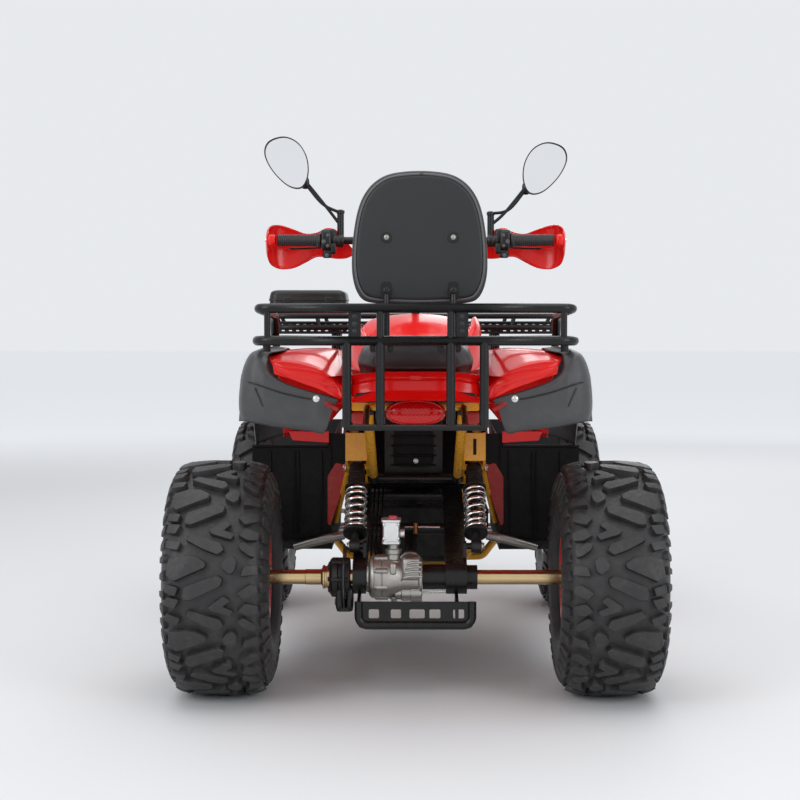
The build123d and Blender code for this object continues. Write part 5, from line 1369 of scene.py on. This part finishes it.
# Rear drive. Profiles turned round the rear axle, as (distance to the right of the middle, radius)
SHAFT = [(-352, 17.5), (-264, 17.5), (-263, 18.6), (-226, 18.6), (-224, 21), (-222, 27), (-221, 28.3),
         (-217, 28.3), (-216, 26.2), (-212, 26.2), (-211, 28.3), (-206, 28.3), (-205, 27), (-205, 17.5),
         (-150, 17.5), (148, 17.5), (352, 17.5)]
DISC_HUB = [(-204.6, 20), (-204.6, 40), (-203, 43), (-198, 47), (-186, 47), (-184, 42), (-178, 42), (-176, 47),
            (-159, 47), (-157, 45), (-156, 40), (-156, 18)]
WHEEL_HUB = [(348, 17.6), (348, 27), (351, 29), (430, 34), (436, 62), (443.7, 62), (443.7, 22), (452, 21),
             (471, 14), (471, 0)]
CASING = [(-118, 18), (-118, 33), (-117, 35), (-112, 36), (-111, 42), (-109, 46), (-105, 49.5), (-100, 50.5),
          (-99, 49.2), (-97, 49.2), (-96, 51), (-86, 52), (-81.5, 52), (-80.6, 49.5), (-78.4, 49.5), (-77.5, 52),
          (-68, 51.5), (-56, 49.5), (-46, 46.5), (-38, 43.5), (-30, 42), (6, 42), (8, 45), (10, 47), (15, 47),
          (16.6, 45), (16.6, 18)]


def round_axle(count, radius, start=0.0):
    """Places in a circle round the rear axle."""
    return [REAR_AXLE + np.array([0.0, cos(angle), sin(angle)]) * radius
            for angle in np.arange(count) * tau / count + start]


class QUADBIKE_OT_rear_drive(QuadOperator, bpy.types.Operator):
    """Live axle with its plated shaft, black hub and disc, and the cast final drive with its motor"""
    bl_idname = "quadbike.rear_drive"
    bl_label = "Rear drive"

    def execute(self, context):
        Piece().add(turned(SHAFT, REAR_AXLE, RIGHT, 48)).build(
            "axle_shaft", "yellow_zinc", "plated_steel", body="rear_wheels", crease=30, replaces=("rear_axle",))
        hub = Piece()
        hub.add(turned(DISC_HUB, REAR_AXLE, RIGHT, 48))
        for pin, bolt in zip(round_axle(6, 44), round_axle(6, 33)):
            hub.add(turned([(-200, 0), (-200, 6), (-160, 6), (-160, 0)], pin, RIGHT, 16))
            hub.add(hex_bolt(bolt + [-204, 0, 0], LEFT))
        for side in (-1, 1):
            hub.add(turned([(side * across, radius) for across, radius in WHEEL_HUB], REAR_AXLE, RIGHT))
        hub.build("axle_hubs", "dark_casting", "grey_steel", body="rear_wheels", crease=30)
        disc = Piece()
        a = np.linspace(0, tau, 144, endpoint=False)
        edge = 78.4 + 1.5 * np.cos(a * 12)
        inner = np.full_like(edge, 40.0)
        spoke = np.stack([np.zeros_like(a), np.cos(a), np.sin(a)], axis=-1)
        rings = ((-172, inner), (-172, edge - 0.5), (-171.5, edge), (-168.5, edge), (-168, edge - 0.5),
                 (-168, inner))
        disc.add(np.stack([REAR_AXLE + spoke * radius[:, None] + [x, 0, 0] for x, radius in rings]), loop=True)
        disc.build("brake_disc", "dark_steel", "grey_steel", body="rear_wheels", crease=30)

        drive = Piece()
        drive.add(turned(CASING, REAR_AXLE, RIGHT, 72))
        for place in round_axle(8, 50, 0.35):
            drive.add(turned([(-94, 0), (-94, 5.5), (-93, 6.5), (-67, 6.5), (-66, 5.5), (-66, 0)],
                             place, RIGHT, 18))
            drive.add(hex_bolt(place + [-94, 0, 0], LEFT, 4.4, 4))
        for place in round_axle(6, 33, 0.2):
            drive.add(hex_bolt(place + [-111, 0, 0], LEFT, 4))
        drive.add(pebble((-10, -650, 306), (24, 35, 29), 5))
        for z, tip in ((288, -34), (299, -31), (310, -28), (321, -25)):
            path = smooth_run([(14, -684, z + 1), (-4, -686, z + 2), (tip + 8, -684, z - 2),
                               (tip, -674, z - 12)], 18)
            drive.rod(path, tapered(path, [0, 13, 17], [3.4, 3.2, 2]), 10)
        drive.add(turned([(-50, 0), (-50, 11), (-48, 13), (-34, 14), (-32, 17), (-12, 17), (-11, 19), (14, 19),
                          (15.5, 17.5), (15.5, 0)], (0, -655, 243), RIGHT, 32))
        drive.add(turned([(0, 27), (62, 27), (64, 30), (74, 30), (76, 26), (80, 26)], (-13, -625, 300), AHEAD))
        for x, z, radius, height in ((-51, 236, 8, 22), (-46, 217, 11.5, 11)):
            drive.add(hex_bolt((x, -653, z), DOWN, radius, height))
        # Neck of the selector motor, with its clamp
        drive.add(turned([(0, 22), (8, 21), (10, 17), (22, 16), (24, 20), (34, 20), (36, 14), (46, 14)],
                         (-53, -640, 314), UP, 32))
        drive.add(pebble((-53, -678, 306), (7.5, 8, 14), 4))
        drive.build("final_drive_casting", "cast_aluminium", "cast_aluminium", crease=32, replaces=("final_drive",))
        motor = Piece()
        motor.add(pebble((-58, -640, 391), (20.5, 26, 31), 7))
        motor.add(pebble((-58, -640, 418), (23.5, 29, 4), 8, rows=12))
        motor.add(pebble((-58, -640, 366), (22.5, 28, 3.5), 8, rows=12))
        motor.add(turned([(0, 10), (9, 10), (10, 9), (10, 0)], (-36, -640, 386), RIGHT, 24))
        for x in (-74, -42):
            for z in (376, 410):
                motor.add(dome_screw((x, -666, z), BACK, 3.2, 2.5))
        motor.build("selector_motor", "bright_casting", "cast_aluminium", crease=40)
        Piece().add(turned([(0, 10.5), (5, 10.5), (7, 9), (7.6, 0)], (-54, -640, 421.5), UP, 24)).build(
            "selector_cap", "red_rubber", "red_plastic")
        tunnel = Piece()
        tunnel.add(turned([(0, 20), (6, 21.5), (54, 21.5), (60, 17), (474, 17)], (-13, -545, 300), AHEAD, 32))
        for start in range(5):
            tunnel.add(turned([(0, 18), (3, 25), (6, 18)], (-13, -530 + start * 9, 300), AHEAD, 32))
        tunnel.build("drive_shaft_tube", "black_powder_coat", "black_metal")
        caliper = Piece()
        caliper.add(pebble((-181, -640, 232), (10, 32, 28), 5))
        caliper.add(pebble((-157, -640, 232), (9, 32, 28), 5))
        for y, z in ((-660, 244), (-624, 218)):
            caliper.add(turned([(-194, 0), (-194, 8), (-152, 8), (-150, 7), (-150, 0)], (0, y, z), RIGHT, 20))
        caliper.add(pebble((-169, -640, 207), (20, 28, 7), 5))
        caliper.build("caliper_body", "smooth_black_plastic", "grey_steel", crease=40, replaces=("brake_caliper",))
        return {"FINISHED"}


class QUADBIKE_OT_chassis_fittings(QuadOperator, bpy.types.Operator):
    """Sleeves, brackets, screws and clamps on frame and rack, with the airbox and the covers round the engine"""
    bl_idname = "quadbike.chassis_fittings"
    bl_label = "Chassis fittings"

    def execute(self, context):
        sleeves = Piece()
        sleeves.rod([(108, -380, 504.5), (108, -362, 497), (108, -344, 489.5)], 15.5, 24)
        for x in (86, 97, 108):
            sleeves.rod(smooth_run([(x, -592, 321), (x, -440, 369), (x, -300, 411), (x, -180, 447)], 24), 2.4, 8)
        sleeves.add(pebble((104, -872, 689), (9, 10, 6), 4))
        sleeves.mirrored()
        sleeves.build("frame_sleeves", "black_powder_coat", "black_metal")
        gussets = Piece()
        gussets.add(plate(box_outline(37, 28, 4), 5, 1.4, (125, -862, 706)))
        gussets.add(pebble((125, -850, 706), (17, 12, 12), 6)).mirrored()
        gussets.build("lamp_brackets", "ochre_enamel", "frame_paint")
        # The boxes beside the lamp take the darkened red: painted shade
        Piece().add(pebble((127, -856, 676), (17, 12, 14), 7)).mirrored().build(
            "lamp_side_boxes", "dark_red_inside", "red_plastic")
        Piece().rod([(-96, -345, 490), (0, -345, 490), (96, -345, 490)], 11.6, 20).build(
            "cross_tube_sleeve", "black_powder_coat", "black_metal")
        guard = Piece()
        guard.add(plate(rounded_outline([(-212, 436), (212, 436), (168, 704), (-168, 704)], 20), 4, 1, (0, -73, 0)))
        for x in (118, 148):
            guard.add(plate([(x - 4, 560), (x + 4, 560), (x + 4, 600), (x - 4, 600)], 1.2, 0.4, (0, -460.6, 0)))
        guard.build("inner_guard", "footwell_black_plastic", "dark_plastic")
        # Black rods along the creases of the flares: painted shade
        lines = Piece()
        lines.rod(smooth_run([(391, -864, 761), (371, -892, 757), (351, -901.5, 752), (300, -903.4, 735),
                              (254, -901.6, 724), (232, -901, 720)], 48), 1.9, 8)
        lines.rod(smooth_run([(358, -899.4, 745), (349, -901.4, 725), (340, -902.4, 704)], 16), 1.9, 8)
        lines.mirrored()
        lines.build("flare_crease_shade", "smooth_black_plastic", "dark_plastic")
        screws = Piece()
        for x in (-131, 100):
            for z in (872, 888, 904):
                screws.add(dome_screw((x, -1028.4, z), BACK, 4.4, 3.0))
        screws.build("rack_screws", "dark_steel", "grey_steel")
        clamps = Piece()
        for x, width in ((92, 9), (55, 7)):
            clamps.add(pebble((x, -950, 838), (width, 8, 13), 4))
            clamps.add(hex_bolt((x, -956, 832), BACK, 5))
        clamps.mirrored()
        clamps.build("rack_clamps", "smooth_black_plastic", "black_metal")

        leaf = np.array([(316.7, 795), (311.4, 804.8), (277, 803.5), (237, 795), (208.7, 783.6), (180.1, 760.8),
                         (167.4, 741), (167.4, 720), (214.3, 741), (254.2, 755.2), (288.4, 769.3), (308.2, 780.7)])
        lips = Piece()
        outline = smooth_loop(leaf, 96)
        middle = outline.mean(axis=0)
        lips.add(plate(outline, 7, 2.4, (0, -892, 0)))
        lips.add(plate(middle + [0, 3] + (outline - middle) * [0.86, 0.55], 2.4, 1.2, (0, -898.2, 0))).mirrored()
        lips.build("fender_lips", "gloss_red_plastic", "red_plastic", crease=50)
        Piece().add(plate([(222, 611), (326, 611), (314, 587), (222, 581)], 3, 1, (0, -344, 0))).mirrored().build(
            "inner_lips", "gloss_red_plastic", "red_plastic")
        # The side panel ends take the darkened red: painted shade
        for name, look, slot, y, corners in (
            ("side_panel_ends", "dark_red_inside", "red_plastic", -339,
             [(178, 522), (204, 530), (226, 494), (227, 372), (219, 366), (178, 486)]),
            ("side_panel_backing", "footwell_black_plastic", "dark_plastic", -334,
             [(176, 604), (226, 606), (227, 430), (177, 480)]),
        ):
            Piece().add(plate(rounded_outline(corners, 5), 3, 1, (0, y, 0))).mirrored().build(name, look, slot)
        arms = Piece()
        path = smooth_run([(182, -352, 344), (214, -352, 338), (262, -352, 326), (312, -352, 312)], 24)
        arms.rod(path, tapered(path, [0, 8, 23], [11, 13, 9]))
        arms.mirrored()
        arms.build("footwell_arms", "bare_forging", "grey_steel")
        walls = Piece()
        for x in (240, 300, 311, 372):
            walls.rod([(x, -343, 560), (x, -343.5, 450), (x, -340, 345)], 2.2, 8)
        walls.rod([(224, -343, 572), (320, -343, 572), (414, -343, 572)], 3.4, 10)
        walls.mirrored()
        walls.build("footwell_ribs", "footwell_black_plastic", "dark_plastic")

        air = Piece()
        air.add(pebble((-5, -190, 566), (78, 112, 76), 6, 24, 48))
        air.add(pebble((-5, -190, 630), (82, 116, 9), 8, 12, 48))
        for z in (520, 545, 570, 595):
            air.add(pebble((-5, -300, z), (60, 5, 3.2), 4, 10, 24))
        air.build("airbox", "footwell_black_plastic", "dark_plastic")
        bright = Piece()
        bright.add(dome_screw((1, -303, 531), BACK, 5))
        # Bright rod along the back of the swingarm cross tube: painted highlight
        bright.rod([(-26, -409, 372), (20, -409.5, 373), (62, -409, 372)], 2.6, 8)
        bright.rod([(18, -638, 244), (60, -640, 245), (112, -640, 246)], 3, 8)
        bright.build("bright_fasteners_and_highlight", "bright_zinc", "grey_steel")
        Piece().add(turned([(0, 5), (1, 6), (26, 6), (27, 5), (27, 0)], (1, -412, 356), UP, 20)).build(
            "copper_union", "copper_sleeve", "plated_steel")
        return {"FINISHED"}


# Panel, registration and the run

STEPS = (
    QUADBIKE_OT_finishes, QUADBIKE_OT_tyres, QUADBIKE_OT_springs, QUADBIKE_OT_seat, QUADBIKE_OT_backrest,
    QUADBIKE_OT_rear_body, QUADBIKE_OT_tail_lamp, QUADBIKE_OT_bar_fittings, QUADBIKE_OT_front_body,
    QUADBIKE_OT_front_rack, QUADBIKE_OT_rear_rack, QUADBIKE_OT_rear_drive, QUADBIKE_OT_chassis_fittings,
    QUADBIKE_OT_stage,
)


class QUADBIKE_PT_panel(bpy.types.Panel):
    """Sidebar panel with the looks and a button for each step"""
    bl_idname = "QUADBIKE_PT_panel"
    bl_label = "Quad bike"
    bl_space_type = "VIEW_3D"
    bl_region_type = "UI"
    bl_category = "Quad bike"

    def draw(self, context):
        looks = context.scene.quad_bike_looks
        for name in QUADBIKE_PG_looks.__annotations__:
            self.layout.prop(looks, name)
        for step in STEPS:
            self.layout.operator(step.bl_idname)


CLASSES = (QUADBIKE_PG_looks,) + STEPS + (QUADBIKE_PT_panel,)


def register():
    """Makes the steps, the looks and the panel known to Blender."""
    for made in CLASSES:
        bpy.utils.register_class(made)
    bpy.types.Scene.quad_bike_looks = PointerProperty(type=QUADBIKE_PG_looks)


def unregister():
    """Takes them out again."""
    del bpy.types.Scene.quad_bike_looks
    for made in reversed(CLASSES):
        bpy.utils.unregister_class(made)


def main():
    """Every step in order."""
    register()
    for step in STEPS:
        group, name = step.bl_idname.split(".")
        getattr(getattr(bpy.ops, group), name)()


if __name__ == "__main__":
    main()
